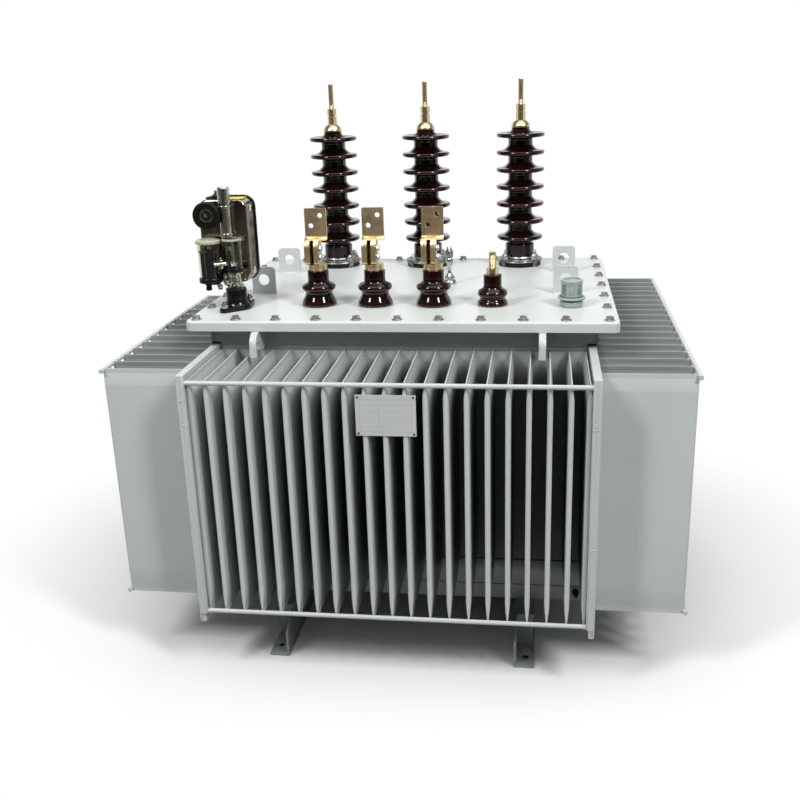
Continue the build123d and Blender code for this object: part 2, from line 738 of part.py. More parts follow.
for index in range(FILLER_PANELS):
    panel = box(
        FILLER_CAP_RADIUS - FILLER_PANEL_DEPTH, FILLER_CAP_RADIUS + 5,
        -FILLER_PANEL_WIDTH / 2, FILLER_PANEL_WIDTH / 2, panel_low, panel_top,
    )
    turn = 360 / FILLER_PANELS * index
    cap -= Pos(FILLER_X, FILLER_Y, COVER_TOP) * Rot(0, 0, turn) * panel
save(cap, "filler_cap")

# Relief valve: foot, hexagonal flange, narrow spindle, bulb and knurled head
relief = turned(
    RELIEF_X, RELIEF_Y, COVER_TOP,
    (0, 0),
    (19, 0),
    ((20, 5), (16, 12)),
    (13, 14),
    (13, 24),
    ((8, 30), (6, 46)),
    ((7, 56), (10, 64)),
    ((11, 72), (8, 80)),
    (11, 82),
    (11, 102),
    (8, 104),
    (0, 104),
)
save(relief, "relief_valve")


# Protection relay
def circle_along_y(x, up, y0, y1, radius):
    """A round bar that runs along Y at a height above the cover."""
    return Pos(x, (y0 + y1) / 2, COVER_TOP + up) * Rot(90, 0, 0) * Cylinder(radius, y1 - y0)


ears = [Pos(side * FLANGE_EAR_OUT, 0) * Circle(FLANGE_EAR_RADIUS) for side in (-1, 1)]
oval = make_hull((Sketch() + [Circle(FLANGE_RADIUS), *ears]).edges())
flange_place = Pos(PEDESTAL_X, PEDESTAL_Y, COVER_TOP) * Rot(0, 0, FLANGE_TURN)
pedestal = flange_place * extrude(oval, amount=FLANGE_THICK)
pedestal += turned(
    PEDESTAL_X, PEDESTAL_Y, COVER_TOP,
    (0, FLANGE_THICK),
    (PEDESTAL_FLARE, FLANGE_THICK),
    ((PEDESTAL_RADIUS + 2, FLANGE_THICK + 8), (PEDESTAL_RADIUS, FLANGE_THICK + 20)),
    (PEDESTAL_RADIUS, PEDESTAL_TOP),
    (0, PEDESTAL_TOP),
)
save(pedestal, "relay_pedestal")

# Waisted fitting on the pedestal with its bracket to the housing, and the riser with its ribbed vent
fitting_y = HOUSING_FRONT - SIGHT_RADIUS
fitting = turned(
    SIGHT_X, fitting_y, COVER_TOP,
    (0, PEDESTAL_TOP),
    (FITTING_RADIUS - 3, PEDESTAL_TOP),
    (FITTING_RADIUS - 3, PEDESTAL_TOP + 6),
    ((FITTING_WAIST + 1, PEDESTAL_TOP + 9), (FITTING_WAIST, PEDESTAL_TOP + 15)),
    (FITTING_WAIST, FITTING_TOP - 15),
    ((FITTING_WAIST + 2, FITTING_TOP - 9), (FITTING_RADIUS, FITTING_TOP - 6)),
    (FITTING_RADIUS, FITTING_TOP),
    (0, FITTING_TOP),
)
fitting += box(
    SIGHT_X - BRACKET_WIDTH / 2, SIGHT_X + BRACKET_WIDTH / 2, fitting_y, HOUSING_FRONT,
    COVER_TOP + BRACKET_LOW, COVER_TOP + BRACKET_TOP,
)
riser_steps = [(0, SIGHT_TOP), (RISER_RADIUS, SIGHT_TOP), (RISER_RADIUS, RISER_TOP)]
rib = (VENT_TOP - RISER_TOP) / 4
for index in range(3):
    z = RISER_TOP + index * rib
    riser_steps += [(VENT_RADIUS, z), (VENT_RADIUS, z + rib - 3), (RISER_RADIUS - 2, z + rib - 3)]
    riser_steps += [(RISER_RADIUS - 2, z + rib)]
riser_steps += [
    (VENT_RADIUS, VENT_TOP - rib),
    (VENT_RADIUS, VENT_TOP - 3),
    (VENT_RADIUS - 3, VENT_TOP),
    (0, VENT_TOP),
]
riser = turned(RISER_X, HOUSING_FRONT - RISER_RADIUS - 1, COVER_TOP, *riser_steps)
save(Compound(children=[fitting, riser]), "relay_fittings")

# Clear chambers: the float chamber, and the sight tube on its fitting
float_chamber = turned(
    CHAMBER_X, HOUSING_FRONT - CHAMBER_CAP_RADIUS, COVER_TOP,
    (0, CHAMBER_LOW),
    (CHAMBER_LOW_RADIUS, CHAMBER_LOW),
    (CHAMBER_CAP_RADIUS - 2, CHAMBER_CAP_LOW),
    (CHAMBER_CAP_RADIUS, CHAMBER_CAP_LOW),
    (CHAMBER_CAP_RADIUS, CHAMBER_TOP - 3),
    (CHAMBER_CAP_RADIUS - 3, CHAMBER_TOP),
    (0, CHAMBER_TOP),
)
sight_tube = tube(
    SIGHT_X, fitting_y, COVER_TOP + FITTING_TOP, COVER_TOP + SIGHT_TOP, SIGHT_RADIUS,
)
save(Compound(children=[float_chamber, sight_tube]), "relay_chambers")

# Dial: a thick ring round a sunk face
dial_front = HOUSING_FRONT - DIAL_DEPTH
dial_back = HOUSING_FRONT - DIAL_NECK
dial = circle_along_y(DIAL_X, DIAL_UP, dial_front, dial_back, DIAL_RADIUS)
dial = fillet(dial.edges().filter_by(GeomType.CIRCLE), 5.0)
dial += circle_along_y(DIAL_X, DIAL_UP, dial_back, HOUSING_FRONT, DIAL_NECK_RADIUS)
dial -= circle_along_y(DIAL_X, DIAL_UP, dial_front - 1, dial_front + DIAL_RECESS, DIAL_FACE_RADIUS)
save(dial, "relay_dial")

# Bright housing with round corners and a rim at the back
housing = box(
    HOUSING_LEFT, HOUSING_RIGHT, HOUSING_FRONT, HOUSING_BACK,
    COVER_TOP + HOUSING_LOW, COVER_TOP + HOUSING_TOP,
)
housing = fillet(housing.edges().filter_by(Axis.Y), HOUSING_CORNER)
housing = fillet(housing.faces().sort_by(Axis.Y)[0].edges(), HOUSING_EDGE)
rim_plate = box(
    HOUSING_LEFT - HOUSING_RIM, HOUSING_RIGHT + HOUSING_RIM,
    HOUSING_BACK - HOUSING_RIM_DEPTH, HOUSING_BACK,
    COVER_TOP + HOUSING_LOW - HOUSING_RIM, COVER_TOP + HOUSING_TOP + HOUSING_RIM,
)
rim_plate = fillet(rim_plate.edges().filter_by(Axis.Y), HOUSING_CORNER + HOUSING_RIM)
save(housing + rim_plate, "relay_housing")

# Nameplate on the fin tips
plate_front = -FRONT_FIN_REACH - PLATE_THICK
nameplate = box(
    PLATE_X - PLATE_WIDTH / 2, PLATE_X + PLATE_WIDTH / 2, plate_front, -FRONT_FIN_REACH,
    PLATE_Z - PLATE_HEIGHT / 2, PLATE_Z + PLATE_HEIGHT / 2,
)
save(nameplate, "nameplate")

# Drain plug low on the front wall
drain = Pos(DRAIN_X, -HALF_D - DRAIN_LENGTH / 2, DRAIN_Z) * Rot(90, 0, 0)
drain *= Cylinder(DRAIN_RADIUS, DRAIN_LENGTH)
save(drain, "drain_plug")
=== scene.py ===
"""Looks of the power transformer: paint, glaze and metals, small fittings, studio and camera.

Lengths are millimetres above the floor and from the middle of the tank, until a piece is made.
"""
import math

import bmesh
import bpy
from mathutils import Matrix, Vector


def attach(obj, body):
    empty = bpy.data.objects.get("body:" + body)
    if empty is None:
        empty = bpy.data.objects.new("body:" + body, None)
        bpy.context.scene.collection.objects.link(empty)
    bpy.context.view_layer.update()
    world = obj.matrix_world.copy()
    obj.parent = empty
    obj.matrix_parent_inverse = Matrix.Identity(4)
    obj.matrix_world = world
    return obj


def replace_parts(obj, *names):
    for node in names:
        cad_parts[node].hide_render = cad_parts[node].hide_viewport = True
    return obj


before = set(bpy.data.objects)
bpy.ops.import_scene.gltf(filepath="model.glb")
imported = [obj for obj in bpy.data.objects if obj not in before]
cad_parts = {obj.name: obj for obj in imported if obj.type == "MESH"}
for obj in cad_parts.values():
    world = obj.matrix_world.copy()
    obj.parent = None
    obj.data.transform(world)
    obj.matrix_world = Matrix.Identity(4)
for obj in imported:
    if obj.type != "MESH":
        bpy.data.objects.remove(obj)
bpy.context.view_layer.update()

MM = 0.001
WHITE = (1, 1, 1, 1)
FULL_TURN = 2 * math.pi

# Camera, solved from the photograph
CAMERA_PLACE = (0.371, -2.932, 1.566)
CAMERA_YAW = 8.4
CAMERA_PITCH = -18.6
CAMERA_ROLL = -1.9
PHOTO_SIDE = 800
FOCAL_PIXELS = 988.0
SENSOR = 36.0

# Studio: ambient light, what shiny pieces see of the room and floor, and how the floor runs out
AMBIENT = 0.15
REFLECTED_ROOM = 0.10
REFLECTED_FLOOR = 0.2
FLOOR_SEEN = (0.82, 0.82, 0.82, 1)
FLOOR_LIGHTING = (0.38, 0.38, 0.37, 1)
FLOOR_SIDE = 60.0
FLOOR_OVAL = (0.85, 1.0, 1.0)
FLOOR_FADE = (0.6, 1.45)

# Places of the pieces, as in the part's source
COVER_TOP = 936.0
BOLT_X = 552.0
BOLT_Y = 425.0
LUG_X = 445.0
LUG_Y = (-103.0, 215.0)
HOOK_X = 380.0
PHASES = "123"
HV_X = (-304.0, 0.0, 304.0)
HV_Y = 338.0
LV_X = (-244.0, -84.0, 80.0)
LV_Y = -255.0
NEUTRAL_X = 243.0
FIN_TIP_Y = 688.0
ROD_Y = 690.0
ROD_HIGH = 840.0
ROD_LOW = 199.0
LONG_FIN_PITCH = 50.0
SIDE_FIN_PITCH = 66.0
SIDE_FIN_START = -592.0
FRONT_FINS = [(index - 9) * LONG_FIN_PITCH for index in range(19)]
RIGHT_FINS = [SIDE_FIN_START + SIDE_FIN_PITCH * index for index in range(18)]
LEFT_FINS = RIGHT_FINS[:14]
SIDE_ROD_X = 757.0
WALL_Y = 393.0
END_PLATE_X = 509.0
END_PLATE_TIP = 700.0
FILLER = (457.0, -262.0)
RELIEF = (99.0, 30.0)
PEDESTAL = (-473.0, -293.0)
PEDESTAL_TURN = 68.0
FLOAT_CUP = (-546.0, -284.5)
SIGHT_TUBE = (-480.0, -277.0)
RISER = (-495.0, -267.5)
VENT_PLUG = (-532.0, -212.0)
DIAL_X = -540.0
DIAL_Z = 1196.0
DRAIN = (484.0, -396.0, 134.0)


def rotated(degrees, axis):
    return Matrix.Rotation(math.radians(degrees), 4, axis)


def new_object(name, data):
    thing = bpy.data.objects.new(name, data)
    bpy.context.scene.collection.objects.link(thing)
    return thing


def place_camera():
    data = bpy.data.cameras.new("photo_camera")
    data.sensor_width = SENSOR
    data.lens = FOCAL_PIXELS / PHOTO_SIDE * SENSOR
    data.clip_end = 60.0
    camera = new_object("photo_camera", data)
    turn = rotated(CAMERA_YAW, "Z") @ rotated(90 + CAMERA_PITCH, "X") @ rotated(CAMERA_ROLL, "Z")
    camera.matrix_world = Matrix.Translation(CAMERA_PLACE) @ turn
    bpy.context.scene.camera = camera


# Shader node helpers
def put(tree, kind, inputs=None, **settings):
    """Adds a shader node, sets it, and links or sets its inputs."""
    node = tree.nodes.new("ShaderNode" + kind)
    for name, value in settings.items():
        setattr(node, name, value)
    for socket, value in (inputs or {}).items():
        if isinstance(value, bpy.types.NodeSocket):
            tree.links.new(value, node.inputs[socket])
        else:
            node.inputs[socket].default_value = value
    return node


def calc(tree, operation, first, second=0.0):
    return put(tree, "Math", {0: first, 1: second}, operation=operation).outputs[0]


def times(tree, first, second):
    return calc(tree, "MULTIPLY", first, second)


def plus(tree, first, second):
    return calc(tree, "ADD", first, second)


def fade(tree, value, low, high, out_low=0.0, out_high=1.0):
    inputs = {"Value": value, "From Min": low, "From Max": high, "To Min": out_low, "To Max": out_high}
    return put(tree, "MapRange", inputs, interpolation_type="SMOOTHSTEP").outputs["Result"]


def blend_color(tree, share, first, second):
    return put(tree, "Mix", {0: share, 6: first, 7: second}, data_type="RGBA").outputs[2]


def cloud(tree, place, scale, detail=2.0):
    inputs = {"Vector": place, "Scale": scale, "Detail": detail, "Roughness": 0.55}
    return put(tree, "TexNoise", inputs).outputs["Fac"]


def new_group(name, inputs, outputs):
    """A shader node group: inputs are (name, kind, value), outputs are (name, kind)."""
    group = bpy.data.node_groups.new(name, "ShaderNodeTree")
    for label, kind, value in inputs:
        socket = group.interface.new_socket(label, in_out="INPUT", socket_type="NodeSocket" + kind)
        socket.default_value = value
    for label, kind in outputs:
        group.interface.new_socket(label, in_out="OUTPUT", socket_type="NodeSocket" + kind)
    start = group.nodes.new("NodeGroupInput")
    end = group.nodes.new("NodeGroupOutput")
    return group, start.outputs, end.inputs


def object_place(tree):
    return put(tree, "TexCoord").outputs["Object"]


def from_axis(tree, place, axis):
    """The offset from an upright axis, and the distance from it."""
    offset = put(tree, "VectorMath", {0: place, 1: axis}, operation="SUBTRACT").outputs[0]
    flat = put(tree, "VectorMath", {0: offset, 1: (1, 1, 0)}, operation="MULTIPLY").outputs[0]
    return offset, put(tree, "VectorMath", {0: flat}, operation="LENGTH").outputs["Value"]


def paint_film_group():
    """Sprayed paint: slow tone drift, orange peel, and a little dust on faces that look up."""
    group, given, result = new_group(
        "paint_film",
        [("Color", "Color", WHITE), ("Roughness", "Float", 0.4), ("Dust", "Float", 0.3)],
        [("Color", "Color"), ("Roughness", "Float"), ("Height", "Float")])
    place = object_place(group)
    drift = cloud(group, place, 2.2, 3.0)
    darker = put(group, "HueSaturation", {"Color": given["Color"], "Value": 0.94, "Saturation": 1.08})
    tone = blend_color(group, fade(group, drift, 0.3, 0.7), darker.outputs[0], given["Color"])
    facing = put(group, "SeparateXYZ", {0: put(group, "NewGeometry").outputs["Normal"]}).outputs["Z"]
    specks = fade(group, cloud(group, place, 21.0, 6.0), 0.5, 0.72)
    settled = times(group, fade(group, facing, 0.5, 1.0), specks)
    dust = times(group, settled, given["Dust"])
    links = group.links
    links.new(blend_color(group, dust, tone, (0.62, 0.6, 0.55, 1)), result["Color"])
    rougher = plus(group, given["Roughness"], times(group, dust, 0.3))
    uneven = times(group, calc(group, "SUBTRACT", cloud(group, place, 9.0), 0.5), 0.12)
    links.new(plus(group, rougher, uneven), result["Roughness"])
    peel = times(group, cloud(group, place, 240.0, 1.0), 0.6)
    links.new(plus(group, peel, times(group, drift, 0.9)), result["Height"])
    return group


def metal_skin_group():
    """Bare or plated metal: grain along a chosen direction, and patches of tarnish."""
    group, given, result = new_group(
        "metal_skin",
        [("Color", "Color", WHITE), ("Tarnish", "Color", (0, 0, 0, 1)), ("Amount", "Float", 0.4),
         ("Grain", "Vector", (1, 1, 1)), ("Patch", "Float", 40.0), ("Roughness", "Float", 0.3)],
        [("Color", "Color"), ("Roughness", "Float"), ("Height", "Float")])
    place = object_place(group)
    stretched = put(group, "VectorMath", {0: place, 1: given["Grain"]}, operation="MULTIPLY").outputs[0]
    grain = cloud(group, stretched, 1.0, 3.0)
    patch = fade(group, cloud(group, place, given["Patch"], 5.0), 0.42, 0.68)
    share = times(group, patch, given["Amount"])
    links = group.links
    links.new(blend_color(group, share, given["Color"], given["Tarnish"]), result["Color"])
    spread = times(group, calc(group, "SUBTRACT", grain, 0.5), 0.22)
    rougher = plus(group, plus(group, given["Roughness"], spread), times(group, share, 0.2))
    links.new(calc(group, "MAXIMUM", rougher, 0.04), result["Roughness"])
    links.new(grain, result["Height"])
    return group


def glaze_film_group():
    """Brown glaze round an upright axis: redder and thinner at the rims, with slow waves."""
    group, given, result = new_group(
        "glaze_film",
        [("Color", "Color", WHITE), ("Rim Color", "Color", WHITE),
         ("Axis", "Vector", (0, 0, 0)), ("Rim", "Float", 0.07)],
        [("Color", "Color"), ("Roughness", "Float"), ("Height", "Float")])
    place = object_place(group)
    near = calc(group, "SUBTRACT", from_axis(group, place, given["Axis"])[1], given["Rim"])
    uneven = fade(group, cloud(group, place, 30.0), 0.3, 0.7, 0.4)
    thin = times(group, fade(group, near, -0.006, 0.0), uneven)
    pooled = fade(group, cloud(group, place, 13.0, 4.0), 0.35, 0.7, 0.0, 0.35)
    links = group.links
    body = blend_color(group, pooled, given["Color"], given["Rim Color"])
    links.new(blend_color(group, thin, body, given["Rim Color"]), result["Color"])
    links.new(fade(group, cloud(group, place, 60.0, 3.0), 0.3, 0.7, 0.05, 0.13), result["Roughness"])
    links.new(cloud(group, place, 26.0, 1.0), result["Height"])
    return group


def screw_thread_group():
    """Height of a screw thread within a radius of an upright axis."""
    group, given, result = new_group(
        "screw_thread",
        [("Axis", "Vector", (0, 0, 0)), ("Radius", "Float", 0.008), ("Low", "Float", 0.0),
         ("High", "Float", 1.0), ("Pitch", "Float", 0.002)],
        [("Height", "Float")])
    offset, out = from_axis(group, object_place(group), given["Axis"])
    parts = put(group, "SeparateXYZ", {0: offset}).outputs
    around = calc(group, "DIVIDE", calc(group, "ARCTAN2", parts["Y"], parts["X"]), FULL_TURN)
    turns = calc(group, "SUBTRACT", calc(group, "DIVIDE", parts["Z"], given["Pitch"]), around)
    wave = calc(group, "SINE", times(group, turns, FULL_TURN))
    inside = calc(group, "LESS_THAN", out, given["Radius"])
    above = calc(group, "GREATER_THAN", parts["Z"], given["Low"])
    below = calc(group, "LESS_THAN", parts["Z"], given["High"])
    band = times(group, times(group, inside, above), below)
    group.links.new(times(group, wave, band), result["Height"])
    return group


def fin_gap_painted_shade_group():
    """Painted shade deep between the cooling fins; it ends at their tips and top edges."""
    group, given, result = new_group(
        "fin_gap_painted_shade",
        [("Color", "Color", WHITE), ("Painted Shade Color", "Color", (0, 0, 0, 1)),
         ("Across", "Vector", (0, 1, 0)), ("Deep", "Float", 0.5), ("Open", "Float", 0.66),
         ("Below", "Float", 0.72), ("Top", "Float", 0.85),
         ("First", "Float", -1.0), ("Last", "Float", 1.0)],
        [("Color", "Color")])
    place = object_place(group)
    parts = put(group, "SeparateXYZ", {0: place}).outputs
    dot = put(group, "VectorMath", {0: place, 1: given["Across"]}, operation="DOT_PRODUCT")
    across = dot.outputs["Value"]
    inside = fade(group, calc(group, "ABSOLUTE", across), given["Open"], given["Deep"])
    lower = fade(group, parts["Z"], given["Top"], given["Below"])
    after = calc(group, "GREATER_THAN", parts["Y"], given["First"])
    before = calc(group, "LESS_THAN", parts["Y"], given["Last"])
    within = times(group, after, before)
    share = times(group, times(group, inside, lower), within)
    # The paint's colour is blended towards the dark colour here: painted shade between the fins.
    group.links.new(blend_color(group, share, given["Color"], given["Painted Shade Color"]), result["Color"])
    return group


PAINT_FILM = paint_film_group()
METAL_SKIN = metal_skin_group()
GLAZE_FILM = glaze_film_group()
SCREW_THREAD = screw_thread_group()
FIN_GAP_PAINTED_SHADE = fin_gap_painted_shade_group()


def set_inputs(shader, values):
    for socket, value in values.items():
        shader.inputs[socket].default_value = value


def new_material(name, metal=0.0, coat=0.0, coat_rough=0.08):
    material = bpy.data.materials.new(name)
    material.use_nodes = True
    shader = material.node_tree.nodes["Principled BSDF"]
    set_inputs(shader, {"Metallic": metal, "Coat Weight": coat, "Coat Roughness": coat_rough})
    return material, shader


def place_group(tree, group, values):
    return put(tree, "Group", values, node_tree=group)


def finish_with(material, shader, skin, bump, extra_height=None):
    """Links a skin group's colour, roughness and height to the material's shader."""
    tree = material.node_tree
    tree.links.new(skin.outputs["Color"], shader.inputs["Base Color"])
    tree.links.new(skin.outputs["Roughness"], shader.inputs["Roughness"])
    height = skin.outputs["Height"]
    relief = put(tree, "Bump", {"Height": height, "Strength": 1.0, "Distance": bump})
    if extra_height is not None:
        socket, depth = extra_height
        again = {"Height": socket, "Strength": 1.0, "Distance": depth, "Normal": relief.outputs[0]}
        relief = put(tree, "Bump", again)
    tree.links.new(relief.outputs[0], shader.inputs["Normal"])


def painted(name, color, rough, dust=0.25, coat=0.2, peel=0.00012, shine=0.5):
    material, shader = new_material(name, coat=coat, coat_rough=0.14)
    set_inputs(shader, {"Specular IOR Level": shine})
    values = {"Color": (*color, 1), "Roughness": rough, "Dust": dust}
    finish_with(material, shader, place_group(material.node_tree, PAINT_FILM, values), peel)
    return material


def fin_paint_and_painted_shade(name, color, rough, painted_shade_color, **gap):
    """Tank paint for a finned wall, darkened deep in the gaps with painted shade."""
    material = painted(name, color, rough)
    tree = material.node_tree
    shader = tree.nodes["Principled BSDF"]
    film = shader.inputs["Base Color"].links[0].from_socket
    shade = place_group(tree, FIN_GAP_PAINTED_SHADE, {"Painted Shade Color": (*painted_shade_color, 1), **gap})
    tree.links.new(film, shade.inputs["Color"])
    tree.links.new(shade.outputs["Color"], shader.inputs["Base Color"])
    return material


def metal(name, color, tarnish, amount, rough, grain=(300, 300, 300), patch=40.0, bump=0.00005):
    material, shader = new_material(name, metal=1.0)
    values = {"Color": (*color, 1), "Tarnish": (*tarnish, 1), "Amount": amount, "Grain": grain,
              "Patch": patch, "Roughness": rough}
    finish_with(material, shader, place_group(material.node_tree, METAL_SKIN, values), bump)
    return material


def glazed(name, x, y, rim):
    """Porcelain glaze round the axis of one bushing; rim is its widest radius in millimetres."""
    material, shader = new_material(name, coat=0.3, coat_rough=0.03)
    set_inputs(shader, {"Specular IOR Level": 0.3})
    values = {"Color": (0.0052, 0.0014, 0.0012, 1), "Rim Color": (0.021, 0.004, 0.0026, 1),
              "Axis": (x * MM, y * MM, 0), "Rim": rim * MM}
    finish_with(material, shader, place_group(material.node_tree, GLAZE_FILM, values), 0.0004)
    return material


def threaded_brass(name, x, y, radius, low, high, pitch=2.0):
    """Bright brass whose stud, inside the radius and between two heights, has a thread."""
    material, shader = new_material(name, metal=1.0)
    tree = material.node_tree
    values = {"Color": (0.70, 0.58, 0.35, 1), "Tarnish": (0.50, 0.41, 0.24, 1), "Amount": 0.35,
              "Grain": (90, 90, 700), "Patch": 38.0, "Roughness": 0.3}
    thread = place_group(tree, SCREW_THREAD, {
        "Axis": (x * MM, y * MM, 0), "Radius": radius * MM, "Low": low * MM, "High": high * MM,
        "Pitch": pitch * MM})
    skin = place_group(tree, METAL_SKIN, values)
    finish_with(material, shader, skin, 0.00003, (thread.outputs[0], 0.00025))
    return material


def clear_material(name, tint, rough):
    material, shader = new_material(name)
    set_inputs(shader, {"Transmission Weight": 1.0, "IOR": 1.46})
    tree = material.node_tree
    place = object_place(tree)
    haze = fade(tree, cloud(tree, place, 45.0, 4.0), 0.4, 0.75, rough, rough + 0.02)
    tree.links.new(haze, shader.inputs["Roughness"])
    cloudy = fade(tree, cloud(tree, place, 18.0, 3.0), 0.3, 0.7)
    darker = tuple(0.93 * part for part in tint)
    tree.links.new(blend_color(tree, cloudy, (*tint, 1), (*darker, 1)), shader.inputs["Base Color"])
    waves = put(tree, "Bump", {"Height": cloud(tree, place, 30.0, 1.0), "Distance": 0.0003})
    tree.links.new(waves.outputs[0], shader.inputs["Normal"])
    return material


TANK_PAINT = painted("tank_paint", (0.50, 0.535, 0.517), 0.36)
# Fin paints: the tank paint, with painted shade deep between the fins.
LONG_FIN_PAINT_AND_PAINTED_SHADE = fin_paint_and_painted_shade(
    "long_fin_paint", (0.52, 0.555, 0.537), 0.36, (0.07, 0.082, 0.077), Deep=0.53, Open=0.672)
RIGHT_FIN_PAINT_AND_PAINTED_SHADE, LEFT_FIN_PAINT_AND_PAINTED_SHADE = [
    fin_paint_and_painted_shade(
        name, (0.50, 0.535, 0.517), 0.36, (0.22, 0.24, 0.23), Across=(1, 0, 0),
        Deep=0.738, Open=0.764, Below=0.84, Top=0.8555, First=-0.5915, Last=last)
    for name, last in (("right_fin_paint", 0.5295), ("left_fin_paint", 0.2655))
]
# A darker copy of the tank paint for the top band, the floor tray and the wall margins: painted shade.
BAND_PAINTED_SHADE = painted("band_painted_shade", (0.29, 0.32, 0.305), 0.4, dust=0.1)
# A lighter copy of the tank paint for the cover: painted light, as on its lit top.
COVER_PAINTED_LIGHT = painted("cover_painted_light", (0.58, 0.612, 0.598), 0.34, dust=0.12, coat=0.05, shine=0.36)
SKID_PAINT = painted("skid_paint", (0.26, 0.295, 0.28), 0.42, dust=0.6)
FILLER_PAINT = painted("filler_paint", (0.30, 0.355, 0.33), 0.34, dust=0.2)
BLACK_PAINT = painted(
    "black_gloss_paint", (0.006, 0.006, 0.006), 0.2, dust=0.0, coat=0.0, peel=0.00025, shine=0.3)
BLACK_PLASTIC = painted("black_plastic", (0.005, 0.005, 0.005), 0.42, dust=0.0, coat=0.0, shine=0.2)
DARK_RUBBER = painted("dark_rubber", (0.008, 0.008, 0.008), 0.6, dust=0.04, coat=0.0, shine=0.25)
GREY_RUBBER = painted("grey_gasket", (0.42, 0.42, 0.41), 0.6, dust=0.2, coat=0.0)
# Near black: the plate rivets, and painted shadow in the wall joints, at the band's lower corners and in
# the skid holes.
DARK_SEAM_AND_PAINTED_SHADOW = painted("dark_joint_and_painted_shadow", (0.02, 0.024, 0.023), 0.55, dust=0.1, coat=0.0)
CREAM_PLASTIC = painted("cream_plastic", (0.46, 0.46, 0.37), 0.28, dust=0.05, coat=0.3)
FLOAT_BLACK = painted("float_black", (0.006, 0.006, 0.006), 0.3, dust=0.0, coat=0.0, shine=0.3)
DIAL_FACE = painted("dial_face", (0.016, 0.017, 0.018), 0.35, dust=0.0, coat=0.0, shine=0.3)
DIAL_MARK = painted("dial_marks", (0.42, 0.43, 0.43), 0.4, dust=0.0, coat=0.1)
YELLOW_PATCH = painted("yellow_patch", (0.80, 0.68, 0.03), 0.38, dust=0.05)
PLATE_FACE = painted("plate_face", (0.50, 0.525, 0.52), 0.33, dust=0.05, coat=0.1, peel=0.00004)
PLATE_RULES = painted("plate_rules", (0.30, 0.32, 0.32), 0.45, dust=0.0, coat=0.0)
ZINC = metal("zinc_fastener", (0.52, 0.53, 0.52), (0.16, 0.17, 0.16), 0.6, 0.34, (260, 260, 260), 120.0)
CAST = metal("cast_clamp", (0.34, 0.35, 0.34), (0.06, 0.06, 0.06), 0.85, 0.3, (420, 420, 420), 55.0, 0.0005)
# The housing steel's dark brown colour is a painted reflection of a dark room.
HOUSING_STEEL_PAINTED_REFLECTION = metal(
    "housing_steel_painted_reflection", (0.36, 0.32, 0.25), (0.12, 0.10, 0.07), 0.6, 0.13, (60, 60, 4), 14.0, 0.00001)
RIM_STEEL = metal(
    "housing_rim_steel", (0.78, 0.77, 0.74), (0.5, 0.49, 0.46), 0.3, 0.12, (300, 300, 300), 20.0, 0.00001)
BRIGHT = metal(
    "bright_fitting", (0.56, 0.56, 0.54), (0.16, 0.16, 0.15), 0.6, 0.2, (120, 120, 800), 60.0, 0.00003)
RISER_STEEL = metal(
    "riser_steel", (0.60, 0.60, 0.51), (0.24, 0.24, 0.18), 0.8, 0.17, (260, 260, 6), 30.0, 0.00002)
PALM_BRASS = metal(
    "palm_brass", (0.80, 0.62, 0.37), (0.60, 0.43, 0.22), 0.5, 0.36, (900, 60, 60), 38.0, 0.00004)
# A dark copy of the brass: painted shade on the thread in each low-voltage slot; the neutral's set screw is
# also this colour.
DARK_BRASS_AND_PAINTED_SHADE = metal("dark_brass_and_painted_shade", (0.30, 0.20, 0.09), (0.10, 0.065, 0.03), 0.7, 0.35, (200, 200, 900), 90.0)
CLEAR = clear_material("clear_chamber", (0.84, 0.84, 0.72), 0.01)

HV_GLAZE = [glazed("hv_glaze_" + label, x, HV_Y, 76.5) for label, x in zip(PHASES, HV_X)]
LV_GLAZE = [glazed("lv_glaze_" + label, x, LV_Y, 48.5) for label, x in zip(PHASES, LV_X)]
NEUTRAL_GLAZE = glazed("neutral_glaze", NEUTRAL_X, LV_Y, 41.8)
HV_BRASS = [
    threaded_brass("hv_brass_" + label, x, HV_Y, 8.6, COVER_TOP + 509, COVER_TOP + 522)
    for label, x in zip(PHASES, HV_X)
]
NEUTRAL_BRASS = threaded_brass("neutral_brass", NEUTRAL_X, LV_Y, 10.4, COVER_TOP + 104, COVER_TOP + 140)


